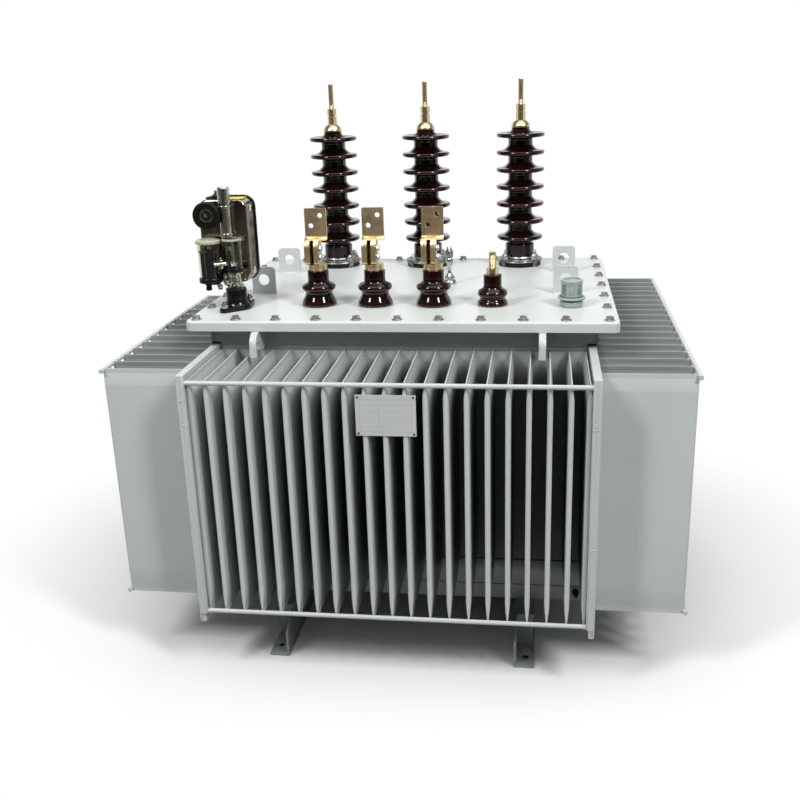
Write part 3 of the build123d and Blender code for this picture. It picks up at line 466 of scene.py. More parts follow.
def dress_nodes():
    """Gives each carried-over node its finish, and some of them a small round on their edges."""
    finishes = {
        "tank_cover": COVER_PAINTED_LIGHT, "left_skid": SKID_PAINT, "right_skid": SKID_PAINT,
        "relief_valve": BRIGHT, "relay_pedestal": BLACK_PAINT, "relay_housing": HOUSING_STEEL_PAINTED_REFLECTION,
        "relay_fittings": RISER_STEEL, "relay_dial": BLACK_PLASTIC, "nameplate": PLATE_FACE,
        "drain_plug": BLACK_PAINT, "neutral_bushing": NEUTRAL_GLAZE, "neutral_stud": NEUTRAL_BRASS,
        "filler_cap": FILLER_PAINT, "filler_neck": FILLER_PAINT,
        "tank_top_band": BAND_PAINTED_SHADE, "tank_floor_tray": BAND_PAINTED_SHADE,
        "front_fin_wall": LONG_FIN_PAINT_AND_PAINTED_SHADE, "rear_fin_wall": LONG_FIN_PAINT_AND_PAINTED_SHADE,
        "left_fin_wall": LEFT_FIN_PAINT_AND_PAINTED_SHADE, "right_fin_wall": RIGHT_FIN_PAINT_AND_PAINTED_SHADE,
    }
    for index, label in enumerate(PHASES):
        finishes["hv_bushing_" + label] = HV_GLAZE[index]
        finishes["lv_bushing_" + label] = LV_GLAZE[index]
        finishes["hv_terminal_" + label] = HV_BRASS[index]
        finishes["lv_terminal_" + label] = PALM_BRASS
        finishes["hv_clamp_ring_" + label] = CAST
    rounds = {
        "left_skid": 1.2, "right_skid": 1.2, "tank_floor_tray": 1.5, "tank_top_band": 1.0,
        "left_lifting_lugs": 1.0, "right_lifting_lugs": 1.0, "front_lashing_hooks": 2.2,
        "rear_lashing_hooks": 2.2, "front_end_plates": 1.2, "rear_end_plates": 1.2,
        "lv_terminal_1": 0.8, "lv_terminal_2": 0.8, "lv_terminal_3": 0.8, "nameplate": 0.6,
        "relay_pedestal": 1.2,
    }
    for name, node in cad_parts.items():
        node.data.materials.clear()
        node.data.materials.append(finishes.get(name, TANK_PAINT))
        if name in rounds:
            weld = node.modifiers.new("joined_facets", "WELD")
            weld.merge_threshold = 0.00002
            edge = node.modifiers.new("soft_edges", "BEVEL")
            edge.width = rounds[name] * MM
            edge.segments = 2
            edge.limit_method = "ANGLE"
            edge.angle_limit = math.radians(50)
            edge.harden_normals = True


# Mesh helpers
def to_mesh(name, shape):
    mesh = bpy.data.meshes.new(name)
    shape.to_mesh(mesh)
    shape.free()
    return mesh


def at(x, y, z, lean_x=0.0, lean_y=0.0, turn=0.0):
    """A place in millimetres, with turns in degrees about X, then Y, then Z."""
    turns = rotated(turn, "Z") @ rotated(lean_y, "Y") @ rotated(lean_x, "X")
    return Matrix.Translation((x, y, z)) @ turns


def on_cover(x, y, up=0.0, **turns):
    """A place on the cover, or that far above it."""
    return at(x, y, COVER_TOP + up, **turns)


def make_piece(name, shape, material, sharp=38.0):
    """Turns a shape in millimetres into an object that rides on the transformer."""
    bmesh.ops.transform(shape, matrix=Matrix.Scale(MM, 4), verts=shape.verts)
    mesh = to_mesh(name, shape)
    mesh.materials.append(material)
    mesh.shade_smooth()
    mesh.set_sharp_from_angle(angle=math.radians(sharp))
    piece = new_object(name, mesh)
    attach(piece, "root")
    return piece


def add_part(shape, part, place=None):
    """Joins a part, made in a mesh of its own, to a shape at its place."""
    if place is not None:
        bmesh.ops.transform(part, matrix=place, verts=part.verts)
    mesh = to_mesh("part", part)
    shape.from_mesh(mesh)
    bpy.data.meshes.remove(mesh)


def soften(part, edges, width):
    bmesh.ops.bevel(
        part, geom=edges, offset=width, offset_type="OFFSET", segments=2, profile=0.5,
        affect="EDGES", material=-1)


def turn_profile(shape, profile, place=None, steps=32):
    """Adds a round solid from (radius, height) points; a profile off the axis closes on itself."""
    part = bmesh.new()
    corners = [part.verts.new((radius, 0, height)) for radius, height in profile]
    edges = [part.edges.new(pair) for pair in zip(corners, corners[1:])]
    if profile[0][0] > 0 and profile[-1][0] > 0:
        edges.append(part.edges.new((corners[-1], corners[0])))
    bmesh.ops.spin(
        part, geom=corners + edges, cent=(0, 0, 0), axis=(0, 0, 1), dvec=(0, 0, 0),
        angle=FULL_TURN, steps=steps, use_merge=True, use_duplicate=False)
    bmesh.ops.remove_doubles(part, verts=part.verts, dist=0.001)
    bmesh.ops.recalc_face_normals(part, faces=part.faces)
    add_part(shape, part, place)


def turn_solid(shape, outline, place=None, steps=32):
    """Adds a round solid whose outline is closed flat to the axis at both ends."""
    start = [(0, outline[0][1])] if outline[0][0] else []
    end = [(0, outline[-1][1])] if outline[-1][0] else []
    turn_profile(shape, start + outline + end, place, steps)


def turned_piece(name, profile, place, steps, material, sharp=38.0):
    shape = bmesh.new()
    turn_profile(shape, profile, place, steps)
    return make_piece(name, shape, material, sharp)


def add_prism(shape, sides, radius, low, high, soft=0.8, place=None):
    """Adds an upright prism with softened end rims, such as a nut or a pin."""
    part = bmesh.new()
    middle = Matrix.Translation((0, 0, (low + high) / 2))
    bmesh.ops.create_cone(
        part, cap_ends=True, segments=sides, radius1=radius, radius2=radius,
        depth=high - low, matrix=middle)
    rims = [edge for edge in part.edges if abs(edge.verts[0].co.z - edge.verts[1].co.z) < 0.001]
    soften(part, rims, soft)
    add_part(shape, part, place)


def add_block(shape, low, high, soft=0.8, place=None):
    """Adds a block between two corners with softened edges."""
    part = bmesh.new()
    size = [b - a for a, b in zip(low, high)]
    middle = [(a + b) / 2 for a, b in zip(low, high)]
    bmesh.ops.create_cube(part, size=1.0, matrix=Matrix.Translation(middle) @ Matrix.Diagonal((*size, 1)))
    soften(part, list(part.edges), soft)
    add_part(shape, part, place)


def repeat(build, places):
    """A shape with one copy of a small part at each place."""
    one = bmesh.new()
    build(one)
    template = to_mesh("template", one)
    shape = bmesh.new()
    for place in places:
        start = len(shape.verts)
        shape.from_mesh(template)
        shape.verts.ensure_lookup_table()
        bmesh.ops.transform(shape, matrix=place, verts=shape.verts[start:])
    bpy.data.meshes.remove(template)
    return shape


def add_bead(shape, start, end, size, ripple=4.0):
    """Adds a rippled weld bead between two points."""
    part = bmesh.new()
    line = Vector(end) - Vector(start)
    length = line.length
    bmesh.ops.create_cone(part, cap_ends=True, segments=8, radius1=size, radius2=size, depth=length)
    sides = [edge for edge in part.edges if abs(edge.verts[0].co.z - edge.verts[1].co.z) > 1]
    cuts = max(2, int(length / ripple * 2))
    bmesh.ops.subdivide_edges(part, edges=sides, cuts=cuts, use_grid_fill=True)
    for vert in part.verts:
        wave = math.cos(FULL_TURN * vert.co.z / ripple)
        drift = math.sin(vert.co.z * 0.11) + math.sin(vert.co.z * 0.047 + 1.3)
        scale = 0.86 + 0.12 * wave + 0.07 * drift
        vert.co.x *= scale
        vert.co.y *= scale
    aim = line.to_track_quat("Z", "Y").to_matrix().to_4x4()
    add_part(shape, part, Matrix.Translation((Vector(start) + Vector(end)) / 2) @ aim)


def add_blob(shape, x, y, z, wide, tall):
    """Adds a small rounded lump of weld."""
    matrix = Matrix.Translation((x, y, z)) @ Matrix.Diagonal((wide, wide, tall, 1))
    bmesh.ops.create_icosphere(shape, subdivisions=2, radius=1.0, matrix=matrix)


# Fasteners
def hex_bolt(shape):
    """A cover bolt: washer, spring washer and head above the plate, nut and thread end below."""
    turn_solid(shape, [(13.6, 0.0), (14.0, 0.5), (14.0, 2.0), (13.4, 2.5)], steps=28)
    turn_solid(shape, [(10.0, 2.5), (10.4, 3.2), (10.0, 4.6)], steps=24)
    add_prism(shape, 6, 10.6, 4.6, 10.6, 1.0)
    turn_solid(shape, [(7.8, 10.5), (7.0, 11.0), (0, 11.2)], steps=20)
    turn_solid(shape, [(12.5, -12.5), (12.5, -10.0)], steps=24)
    add_prism(shape, 6, 11.0, -21.0, -12.5, 1.0)
    turn_solid(shape, [(4.6, -27), (5.6, -26), (5.6, -20)], steps=16)


def dome_nut(shape):
    """A washer, a hexagon and a domed end on a stud."""
    turn_solid(shape, [(10.5, 0), (10.9, 0.6), (10.9, 2.2), (10.3, 2.6)], steps=24)
    add_prism(shape, 6, 10.2, 2.6, 11.5, 0.9)
    turn_solid(
        shape,
        [(7.8, 11.2), (7.7, 14.0), (6.6, 17.0), (4.6, 19.4), (2.2, 20.6), (0, 21.0)],
        steps=20)


def stud_nut(shape):
    """A washer, a hexagon and the plain end of a stud."""
    turn_solid(shape, [(11.5, 0), (11.9, 0.6), (11.9, 2.2), (11.3, 2.8)], steps=24)
    add_prism(shape, 6, 10.6, 2.8, 12.0, 0.9)
    turn_solid(shape, [(5.4, 12), (5.4, 19), (4.4, 20.4)], steps=16)


def clamp_bolt(shape):
    """The head and washer of a bolt that closes the split clamp."""
    turn_solid(shape, [(9.0, 0), (9.4, 0.5), (9.4, 1.7), (9.0, 2.1)], steps=24)
    add_prism(shape, 6, 8.8, 2.1, 8.6, 0.9)
    turn_solid(shape, [(6.2, 8.5), (5.6, 9.0), (0, 9.1)], steps=20)


def cover_bolts():
    places = []
    for index in range(11):
        x = -550.0 + 110.0 * index
        places += [on_cover(x, -BOLT_Y, turn=index * 37), on_cover(x, BOLT_Y, turn=index * 23)]
    for index in range(1, 6):
        y = -BOLT_Y + 2 * BOLT_Y / 6 * index
        places += [on_cover(-BOLT_X, y, turn=index * 41), on_cover(BOLT_X, y, turn=index * 29)]
    make_piece("cover_bolts", repeat(hex_bolt, places), ZINC)


def bushing_fasteners():
    for label, x in zip(PHASES, HV_X):
        places = []
        for turn in (45, 135, 225, 315):
            reach = math.radians(turn)
            places.append(on_cover(x + 64 * math.cos(reach), HV_Y + 64 * math.sin(reach), 22, turn=turn))
        make_piece("hv_clamp_nuts_" + label, repeat(dome_nut, places), ZINC)
    for label, x in zip(PHASES, LV_X):
        turned_piece(
            "lv_gasket_" + label, [(44, 0.0), (50.4, 0.0), (50.9, 1.2), (50.2, 2.6), (44, 2.6)],
            on_cover(x, LV_Y), 56, GREY_RUBBER)
        places = [at(x + 10, LV_Y - 16, z, lean_y=90) for z in (COVER_TOP + 163.5, COVER_TOP + 140)]
        make_piece("lv_clamp_bolts_" + label, repeat(clamp_bolt, places), ZINC)
        # The thread in the slot is made dark: painted shade inside the slot.
        profile = [(0, 118.2)]
        for turn in range(32):
            low = 118.4 + turn * 2.0
            profile += [(5.2, low), (6.3, low + 0.9), (6.3, low + 1.1), (5.2, low + 2.0)]
        profile += [(0, 182.5)]
        thread_place = on_cover(x - 9.5, LV_Y)
        turned_piece("lv_slot_thread_" + label, profile, thread_place, 18, DARK_BRASS_AND_PAINTED_SHADE)
    turned_piece(
        "neutral_gasket", [(38, 0.0), (42.8, 0.0), (43.2, 1.0), (42.6, 2.2), (38, 2.2)],
        on_cover(NEUTRAL_X, LV_Y), 48, GREY_RUBBER)
    for label, x in zip(PHASES, HV_X):
        place = on_cover(x, HV_Y)
        turned_piece(
            "hv_gasket_" + label,
            [(57, 0.0), (67.4, 0.0), (68.6, 1.5), (68.2, 7), (69.2, 12), (68.4, 14), (57, 14)],
            place, 56, DARK_RUBBER)
        turned_piece(
            "hv_clamp_flange_" + label,
            [(48, 14), (70, 14), (73.2, 15), (74.6, 17.4), (73.6, 20.4), (70.5, 21.8), (66, 21),
             (60, 21.5), (55, 23.6), (51.5, 27), (49.6, 31), (47.2, 32), (47, 14.1)],
            place, 64, CAST)
    turned_piece(
        "neutral_set_screw", [(0, 0.5), (1.8, 0.5), (2.1, 1.4), (3.8, 1.4), (4.2, 0.8), (4.2, -1), (0, -1)],
        on_cover(NEUTRAL_X, LV_Y - 14.2, 94.5, lean_x=90), 20, DARK_BRASS_AND_PAINTED_SHADE)


def bell_porcelains():
    """Low-voltage and neutral porcelains with the soft bell foot, ring and neck of the real ones."""
    tall = [
        (0, 0), (43, 0), (46.4, 1.2), (48.2, 3.8), (48.6, 7.5), (48.0, 12), (46.2, 17), (43.4, 22.5),
        (40.4, 28), (38.2, 33), (37.5, 37), (38.2, 40.6), (41.2, 43.8), (45.0, 46.8), (47.4, 50.2),
        (48.0, 54), (46.8, 58), (43.4, 61.4), (38.4, 63.8), (33.4, 65.8), (30.6, 68.4), (29.6, 72),
        (29.5, 78), (29.5, 99.4), (29.0, 100.6), (27.6, 101), (0, 101),
    ]
    short = [
        (0, 0), (37.4, 0), (40.4, 1.2), (41.7, 4.4), (41.7, 8.6), (40.4, 12.4), (37.6, 15.8), (35.2, 18.4),
        (34.4, 21), (35.0, 23.8), (37.6, 26.6), (40.0, 30.2), (41.0, 34.6), (40.3, 39.2), (37.6, 42.8),
        (33.2, 45.4), (28.8, 47.6), (26.2, 50.6), (25.0, 55), (24.8, 61), (24.8, 84.6), (24.2, 85.7),
        (22.8, 86), (0, 86),
    ]
    rows = [(x, tall, "lv_bushing_" + label, glaze) for label, x, glaze in zip(PHASES, LV_X, LV_GLAZE)]
    rows.append((NEUTRAL_X, short, "neutral_bushing", NEUTRAL_GLAZE))
    for x, profile, node, glaze in rows:
        name = node.replace("bushing", "porcelain")
        place = on_cover(x, LV_Y)
        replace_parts(turned_piece(name, profile, place, 72, glaze, 75.0), node)


def tank_welds():
    """Weld beads and lumps on the painted tank."""
    beads = bmesh.new()
    for x in (-LUG_X, LUG_X):
        for y in LUG_Y:
            for side in (-5.5, 5.5):
                add_bead(beads, (x - 34, y + side, COVER_TOP), (x + 34, y + side, COVER_TOP), 3.2)
            for end in (-35.0, 35.0):
                add_bead(beads, (x + end, y - 5, COVER_TOP), (x + end, y + 5, COVER_TOP), 2.8)
    for side in (-1, 1):
        for x in (-HOOK_X, HOOK_X):
            for edge in (-9.5, 9.5):
                add_bead(beads, (x + edge, side * 396, 856), (x + edge, side * 396, 903), 2.6)
        add_bead(beads, (-519, side * (WALL_Y + 0.5), 859.5), (519, side * (WALL_Y + 0.5), 859.5), 1.7, 6.0)
        add_bead(beads, (-519, side * (WALL_Y + 0.5), 146), (519, side * (WALL_Y + 0.5), 146), 2.4, 5.0)
        for x in (-1, 1):
            for out, y, low, high, size, ripple in (
                    (END_PLATE_X, 699.4, 206, 834, 1.3, 12.0), (518.6, 698.4, 176, 858, 2.4, 7.0),
                    (500.6, 698.6, 206, 834, 1.9, 9.0), (520.4, WALL_Y, 176, 858, 2.6, 6.0)):
                add_bead(beads, (x * out, side * y, low), (x * out, side * y, high), size, ripple)
    make_piece("tank_weld_beads", beads, TANK_PAINT)
    lumps = bmesh.new()
    for side in (-1, 1):
        for z in (ROD_HIGH, ROD_LOW):
            for x in FRONT_FINS:
                for edge in (-3.6, 3.6):
                    add_blob(lumps, x + edge, side * (ROD_Y - 1.5), z - 5.2, 2.1, 2.6)
            for x in (-499.0, 499.0):
                add_blob(lumps, x, side * ROD_Y, z, 8.0, 7.4)
                add_blob(lumps, x * 0.988, side * (ROD_Y - 2), z - 5, 4.5, 4.0)
    for side, rows in ((-1, LEFT_FINS), (1, RIGHT_FINS)):
        for z in (ROD_HIGH, ROD_LOW):
            for y in rows:
                for edge in (-4.0, 4.0):
                    add_blob(lumps, side * (SIDE_ROD_X - 4.5), y + edge, z + 3.6, 2.6, 2.4)
    for x, z, wide in (
            (-512, 742, 1.6), (-506, 738, 1.2), (-509, 731, 1.8), (-503, 726, 1.1), (-510, 506, 1.4),
            (-507, 350, 1.5), (508, 748, 1.8), (512, 741, 1.3), (505, 735, 1.5), (510, 290, 1.9)):
        add_blob(lumps, x, 0.2 - END_PLATE_TIP, z, wide * 1.6, wide)
    for x, z in ((-510, 795), (509, 736), (-510, 300), (509, 420)):
        add_block(lumps, (x - 7.5, -701.2, z - 1.6), (x + 7.5, -699.2, z + 1.6), 0.7)
    make_piece("tank_weld_lumps", lumps, TANK_PAINT)
    # Dark strips where there is only shade: painted shadow along the walls' joint lines and at the lower
    # corners of the top band.
    joint_shadows = bmesh.new()
    for x in (-1, 1):
        add_block(joint_shadows, (min(x * 497, x * 519), -397.2, 859), (max(x * 497, x * 519), -394, 866), 0.5)
    for side in (-1, 1):
        low = min(side * 392.0, side * 394.6)
        add_block(joint_shadows, (-498, low, 227.0), (498, low + 2.6, 230.0), 0.4)
        add_block(joint_shadows, (-498, low, 147.6), (498, low + 2.6, 149.4), 0.4)
    make_piece("wall_joint_painted_shadows", joint_shadows, DARK_SEAM_AND_PAINTED_SHADOW)
    margin = bmesh.new()
    for side in (-1, 1):
        low = min(side * 392.5, side * 395.0)
        add_block(margin, (-498, low, 150), (498, low + 2.5, 226.5), 0.8)
        add_block(margin, (-498, low, 844), (498, low + 2.5, 857.5), 0.8)
    # The wall margins take the band's darker colour: painted shade.
    make_piece("wall_margins", margin, BAND_PAINTED_SHADE)


def skid_details():
    beads = bmesh.new()
    for side in (-1, 1):
        for x in (side * 314.0, side * 370.0):
            add_bead(beads, (x, -388, 104), (x, 388, 104), 3.0, 6.0)
        for y in (-480.0, 480.0):
            for edge in (-3.8, 3.8):
                add_bead(beads, (side * 321.2, y + edge, 9), (side * 321.2, y + edge, 95), 2.2)
                add_bead(beads, (side * 323, y + edge, 7.2), (side * 364, y + edge, 7.2), 2.0)
    make_piece("skid_weld_beads", beads, SKID_PAINT)
    # Dark liners in the skids' bolt holes: painted shade inside the holes.
    rims = bmesh.new()
    for x in (-346.0, 346.0):
        for y in (-545.0, 545.0):
            rim = [(5.6, 0.4), (7.9, 0.4), (7.9, 6.6), (8.8, 7.3), (7.2, 7.3), (5.6, 5.8)]
            turn_profile(rims, rim, at(x, y, 0), 24)
    make_piece("skid_hole_painted_shade", rims, DARK_SEAM_AND_PAINTED_SHADOW)


def plate_details():
    front = -FIN_TIP_Y - 2.5
    left, right, low, high = -72.0, 78.0, 709.0, 815.0
    rivets = bmesh.new()
    for x in (left + 6, right - 6):
        for z in (low + 6, high - 6):
            turn_solid(
                rivets, [(0, 1.9), (1.5, 1.7), (2.6, 0.9), (3.0, -0.4)],
                at(x, front, z, lean_x=90), 16)
    make_piece("plate_rivets", rivets, DARK_SEAM_AND_PAINTED_SHADOW)
    rules = bmesh.new()
    inset = 11.0

    def rule(x0, x1, z0, z1, proud, soft=0.08):
        add_block(rules, (x0, front - proud, z0), (x1, front + 0.3, z1), soft)

    for z in (low + inset, high - inset - 14, high - inset):
        rule(left + inset, right - inset, z - 0.25, z + 0.25, 0.18)
    for x in (left + inset, right - inset, left + 58):
        top = high - inset if x != left + 58 else high - inset - 14
        rule(x - 0.25, x + 0.25, low + inset, top, 0.18)
    for row in range(4):
        z = low + inset + 12 + row * 13.5
        rule(left + inset, right - inset, z - 0.16, z + 0.16, 0.16, 0.06)
    make_piece("plate_rules", rules, PLATE_RULES)


def filler_details():
    x, y = FILLER
    grip = bmesh.new()
    top = COVER_TOP + 68
    add_block(grip, (-20.5, -4.2, 0), (20.5, 4.2, 5.4), 1.5, at(x, y, top, turn=-25))
    turn_solid(grip, [(9.0, 0), (9.0, 3.0), (7.6, 4.4)], at(x, y, top), 28)
    for index in range(8):
        place = on_cover(x, y, turn=45.0 * index)
        if index % 2 == 0:
            add_block(grip, (26.8, -6.0, 36.5), (28.4, 6.0, 59.0), 0.6, place)
            continue
        for across in (-5.0, -2.5, 0.0, 2.5, 5.0):
            add_block(grip, (26.6, across - 0.55, 35.5), (28.9, across + 0.55, 60), 0.35, place)
    make_piece("filler_cap_ribs", grip, FILLER_PAINT)
    groove = bmesh.new()
    turn_profile(groove, [(23, 0.0), (28.3, 0.0), (28.3, 2.4), (23, 2.4)], on_cover(x, y, 16.5), 40)
    turn_profile(groove, [(29, 0.0), (31.2, 0.0), (31.2, 1.6), (29, 1.6)], on_cover(x, y, 27), 44)
    make_piece("filler_seals", groove, DARK_RUBBER)


def relief_details():
    x, y = RELIEF
    parts = bmesh.new()
    add_prism(parts, 6, 16.5, 14.5, 23.0, 1.2, on_cover(x, y, turn=12))
    for index in range(24):
        place = on_cover(x, y, turn=15.0 * index)
        add_block(parts, (10.2, -0.7, 84), (11.9, 0.7, 100), 0.4, place)
    for side in (-5.5, 5.5):
        pin = on_cover(x + side, y, 103)
        turn_solid(parts, [(2.2, 0), (2.2, 8.5), (1.4, 9.6), (0, 9.8)], pin, 14)
    make_piece("relief_valve_details", parts, BRIGHT)


def pedestal_nuts():
    ear_x = 56 * math.cos(math.radians(PEDESTAL_TURN))
    ear_y = 56 * math.sin(math.radians(PEDESTAL_TURN))
    places = [
        on_cover(PEDESTAL[0] + side * ear_x, PEDESTAL[1] + side * ear_y, 11.8, turn=20)
        for side in (-1, 1)
    ]
    make_piece("pedestal_nuts", repeat(stud_nut, places), BRIGHT)


def float_chamber():
    """Clear cup with its cap, black floats and ring: it stands for the solid chamber."""
    cup = bmesh.new()
    place = on_cover(*FLOAT_CUP)
    turn_solid(cup, [(27.6, 74), (29, 75.5), (32.4, 184), (29.8, 184), (26.6, 78), (0, 77.5)], place, 48)
    sight = on_cover(*SIGHT_TUBE)
    turn_solid(cup, [(26.4, 104), (27, 105), (27, 189), (24.4, 189), (24.4, 107.5)], sight, 48)
    glass = make_piece("relay_clear_cups", cup, CLEAR)
    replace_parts(glass, "relay_chambers")
    cap = bmesh.new()
    turn_solid(
        cap,
        [(20, 188), (29.6, 183), (33.8, 183), (34.5, 184), (34.5, 190.5), (32.0, 193),
         (26, 193), (25, 191.5), (9, 191.5), (8, 193)],
        place, 48)
    for index in range(6):
        add_block(cap, (7, -1.6, 190.5), (27, 1.6, 192.9), 0.5, on_cover(*FLOAT_CUP, turn=60 * index + 12))
    for index in range(30):
        add_block(cap, (33.8, -1.1, 184.6), (35.2, 1.1, 190.2), 0.4, on_cover(*FLOAT_CUP, turn=12 * index))
    turn_profile(
        cap,
        [(24.6, 189), (27.4, 189), (28.2, 190), (28.2, 193.5), (27.2, 194.5), (24.6, 194.5)],
        sight, 44)
    make_piece("relay_chamber_caps", cap, CREAM_PLASTIC)
    floats = bmesh.new()
    turn_profile(
        floats, [(28.2, 73.4), (32.6, 73.4), (33.4, 75), (33.0, 85), (32, 86.5), (29.9, 86.5)], place, 44)
    add_block(floats, (-22, -12, 86), (-7.5, 12, 160), 1.6, place)
    add_block(floats, (-4.0, -16, 84), (15, 14, 166), 2.0, place)
    turn_solid(floats, [(24, 78.2), (24, 86)], place, 36)
    turn_profile(floats, [(16, 108), (23.8, 108), (23.8, 119), (21, 121), (16, 119)], sight, 36)
    turn_profile(
        floats, [(25.8, 101.5), (28.8, 101.5), (29.4, 103), (29.4, 111), (28.6, 112.5), (27.1, 112.5)],
        sight, 44)
    make_piece("relay_floats", floats, FLOAT_BLACK)
    inner = bmesh.new()
    add_block(inner, (-8.2, -17.5, 84), (-5.6, -14.5, 172), 0.6, place)
    add_block(inner, (-24.0, -15.5, 158), (14, -13.5, 164), 0.6, place)
    add_block(inner, (-21, -9, 160), (-9, 9, 178), 1.2, place)
    add_block(inner, (0, -11, 166), (12, 9, 181), 1.2, place)
    turn_solid(inner, [(5.2, 107), (5.2, 189)], sight, 20)
    turn_solid(inner, [(11, 112), (12, 114), (9, 128), (5, 132)], sight, 28)
    turn_solid(inner, [(4, 160), (9, 164), (9, 176)], on_cover(-488, -285), 20)
    make_piece("relay_inner_rods", inner, BRIGHT)


def relay_taps():
    """Small taps, plugs and pins round the relay's chambers."""
    knobs = bmesh.new()
    turn_solid(knobs, [(7, 60), (8, 62), (8, 67), (11, 68), (11, 73.6)], on_cover(-553, -288), 24)
    add_prism(knobs, 6, 8.5, 50, 60.5, 1.2, on_cover(-553, -288))
    add_block(knobs, (-20, -4, 66), (14, 4, 73.8), 1.5, on_cover(-536, -290, turn=6))
    turn_solid(knobs, [(13.5, 298), (14, 299.5), (13, 305), (9.6, 309)], on_cover(*VENT_PLUG), 28)
    add_block(knobs, (-30, -11, 296.5), (11, 11, 301.5), 1.8, on_cover(*VENT_PLUG))
    make_piece("relay_black_plugs", knobs, BLACK_PLASTIC)
    taps = bmesh.new()
    tap = on_cover(-505, -308, 125)
    turn_solid(taps, [(6.2, -9), (6.8, -8), (6.8, 8), (6.2, 9)], tap, 20)
    turn_solid(taps, [(4.2, -14), (4.2, 30)], tap @ rotated(-90, "X"), 16)
    turn_solid(
        taps, [(5, -18), (6.4, -16.6), (6.4, -12.5), (4.4, -11), (4.4, 11), (6.4, 12.5),
               (6.4, 16.6), (5, 18)],
        on_cover(-505, -312, 129, lean_y=84), 20)
    add_prism(taps, 6, 7.6, 8.5, 15, 0.9, tap)
    turn_solid(taps, [(3.2, 14), (3.2, 20), (2.4, 21.5)], tap, 14)
    for x, y, low, high, radius in (
            (-500, -297, 66, 101, 4.2), (-484, -302, 68, 104, 4.6), (-468, -299, 66, 103, 4.0)):
        add_prism(taps, 12, radius, low, high, 0.8, on_cover(x, y))
        add_prism(taps, 6, radius + 2.6, low + 5, low + 12, 0.8, on_cover(x, y, turn=15))
        add_prism(taps, 6, radius + 2.2, high - 13, high - 6, 0.8, on_cover(x, y, turn=5))
    valve = on_cover(-517, -297, 55)
    turn_solid(taps, [(5.8, 0), (6.6, 1), (6.6, 6), (4.2, 8), (4.2, 12)], valve, 20)
    add_prism(taps, 6, 8.2, 6, 11.5, 0.8, valve)
    turn_solid(taps, [(3.4, 55), (3.4, 75)], on_cover(-517, -297), 14)
    turn_solid(taps, [(6.8, 308), (7.6, 309.5), (7.6, 318), (6.4, 319.5)], on_cover(*VENT_PLUG), 22)
    add_prism(taps, 12, 4.5, -30, 0, 0.6, on_cover(-455, -262, 191, lean_y=80))
    add_block(taps, (-470, -268, 1122), (-448, -254, 1131), 2.0)
    for up, ring in (
            (199, [(16.6, 0), (18.6, 0), (19.4, 1.2), (19.4, 8.0), (18.6, 9.2), (16.6, 9.2)]),
            (278, [(16.6, 0), (18.2, 0), (18.8, 1.0), (18.8, 5.0), (18.2, 6.0), (16.6, 6.0)])):
        turn_profile(taps, ring, on_cover(*RISER, up), 36)
    turn_solid(
        taps, [(0, 1.6), (2.0, 1.4), (5.6, 0.9), (7.4, -0.4)],
        on_cover(-438, -206, 96, lean_y=90), 22)
    make_piece("relay_taps", taps, RISER_STEEL)


def housing_details():
    rim = bmesh.new()
    left, right, low, high = -575.5, -440.5, 1003.5, 1231.5
    for x0, x1, z0, z1 in (
            (left + 26, right - 26, high, high + 2.4), (left + 26, right - 26, low - 2.4, low),
            (left - 2.4, left, low + 26, high - 26), (right, right + 2.4, low + 26, high - 26)):
        add_block(rim, (x0, -245, z0), (x1, -242, z1), 0.6)
    for x in (right + 2.0, left - 2.0):
        for z in (1206, 1030):
            add_block(rim, (x - 1.6, -226, z - 9), (x + 1.6, -192, z + 9), 1.1)
    make_piece("housing_trim", rim, RIM_STEEL)
    edging = bmesh.new()
    for x0, x1, z0, z1 in (
            (left - 5, left - 2.4, low + 22, high - 22), (right + 2.4, right + 5, low + 22, high - 22),
            (left + 22, right - 22, high + 2.4, high + 5.2), (left + 22, right - 22, low - 5.2, low - 2.4)):
        add_block(edging, (x0, -180.5, z0), (x1, -171.6, z1), 0.9)
    make_piece("housing_back_seal", edging, BLACK_PLASTIC)
    patch = bmesh.new()
    add_block(patch, (-503, -238, 1233.6), (-452, -196, 1234.5), 0.3)
    make_piece("housing_yellow_patch", patch, YELLOW_PATCH)


def dial_details():
    def facing(y):
        return at(DIAL_X, y, DIAL_Z, lean_x=90)

    face = -294.2
    turned_piece(
        "dial_face", [(0, 0.6), (23.6, 0.6), (24.6, 0.0), (24.6, -0.6), (0, -0.6)],
        facing(face), 44, DIAL_FACE)
    marks = bmesh.new()
    front = facing(face - 0.8)
    turn_profile(marks, [(15.6, 0.0), (17.4, 0.0), (17.4, 0.5), (15.6, 0.5)], front, 48)
    for index in range(21):
        turn = front @ rotated(-30 + 12 * index, "Z")
        inner = 18.0 if index % 5 else 17.6
        outer = 20.4 if index % 5 else 22.4
        add_block(marks, (inner, -0.35, 0.0), (outer, 0.35, 0.5), 0.1, turn)
    hand = facing(face - 1.8) @ rotated(128, "Z")
    add_block(marks, (-7, -0.9, 0), (15, 0.9, 0.7), 0.25, hand)
    add_block(marks, (-6.5, -3.6, 0.0), (3.0, 3.6, 0.5), 0.2, front)
    turn_solid(marks, [(3.4, 0), (3.4, 1.6), (2.6, 2.4), (0, 2.6)], facing(face - 1.0), 20)
    make_piece("dial_marks", marks, DIAL_MARK)
    turned_piece(
        "dial_glass", [(0, 1.2), (24.2, 1.2), (24.8, 0.6), (24.8, -0.2), (24.2, -0.8), (0, -0.8)],
        facing(-299.2), 44, CLEAR)


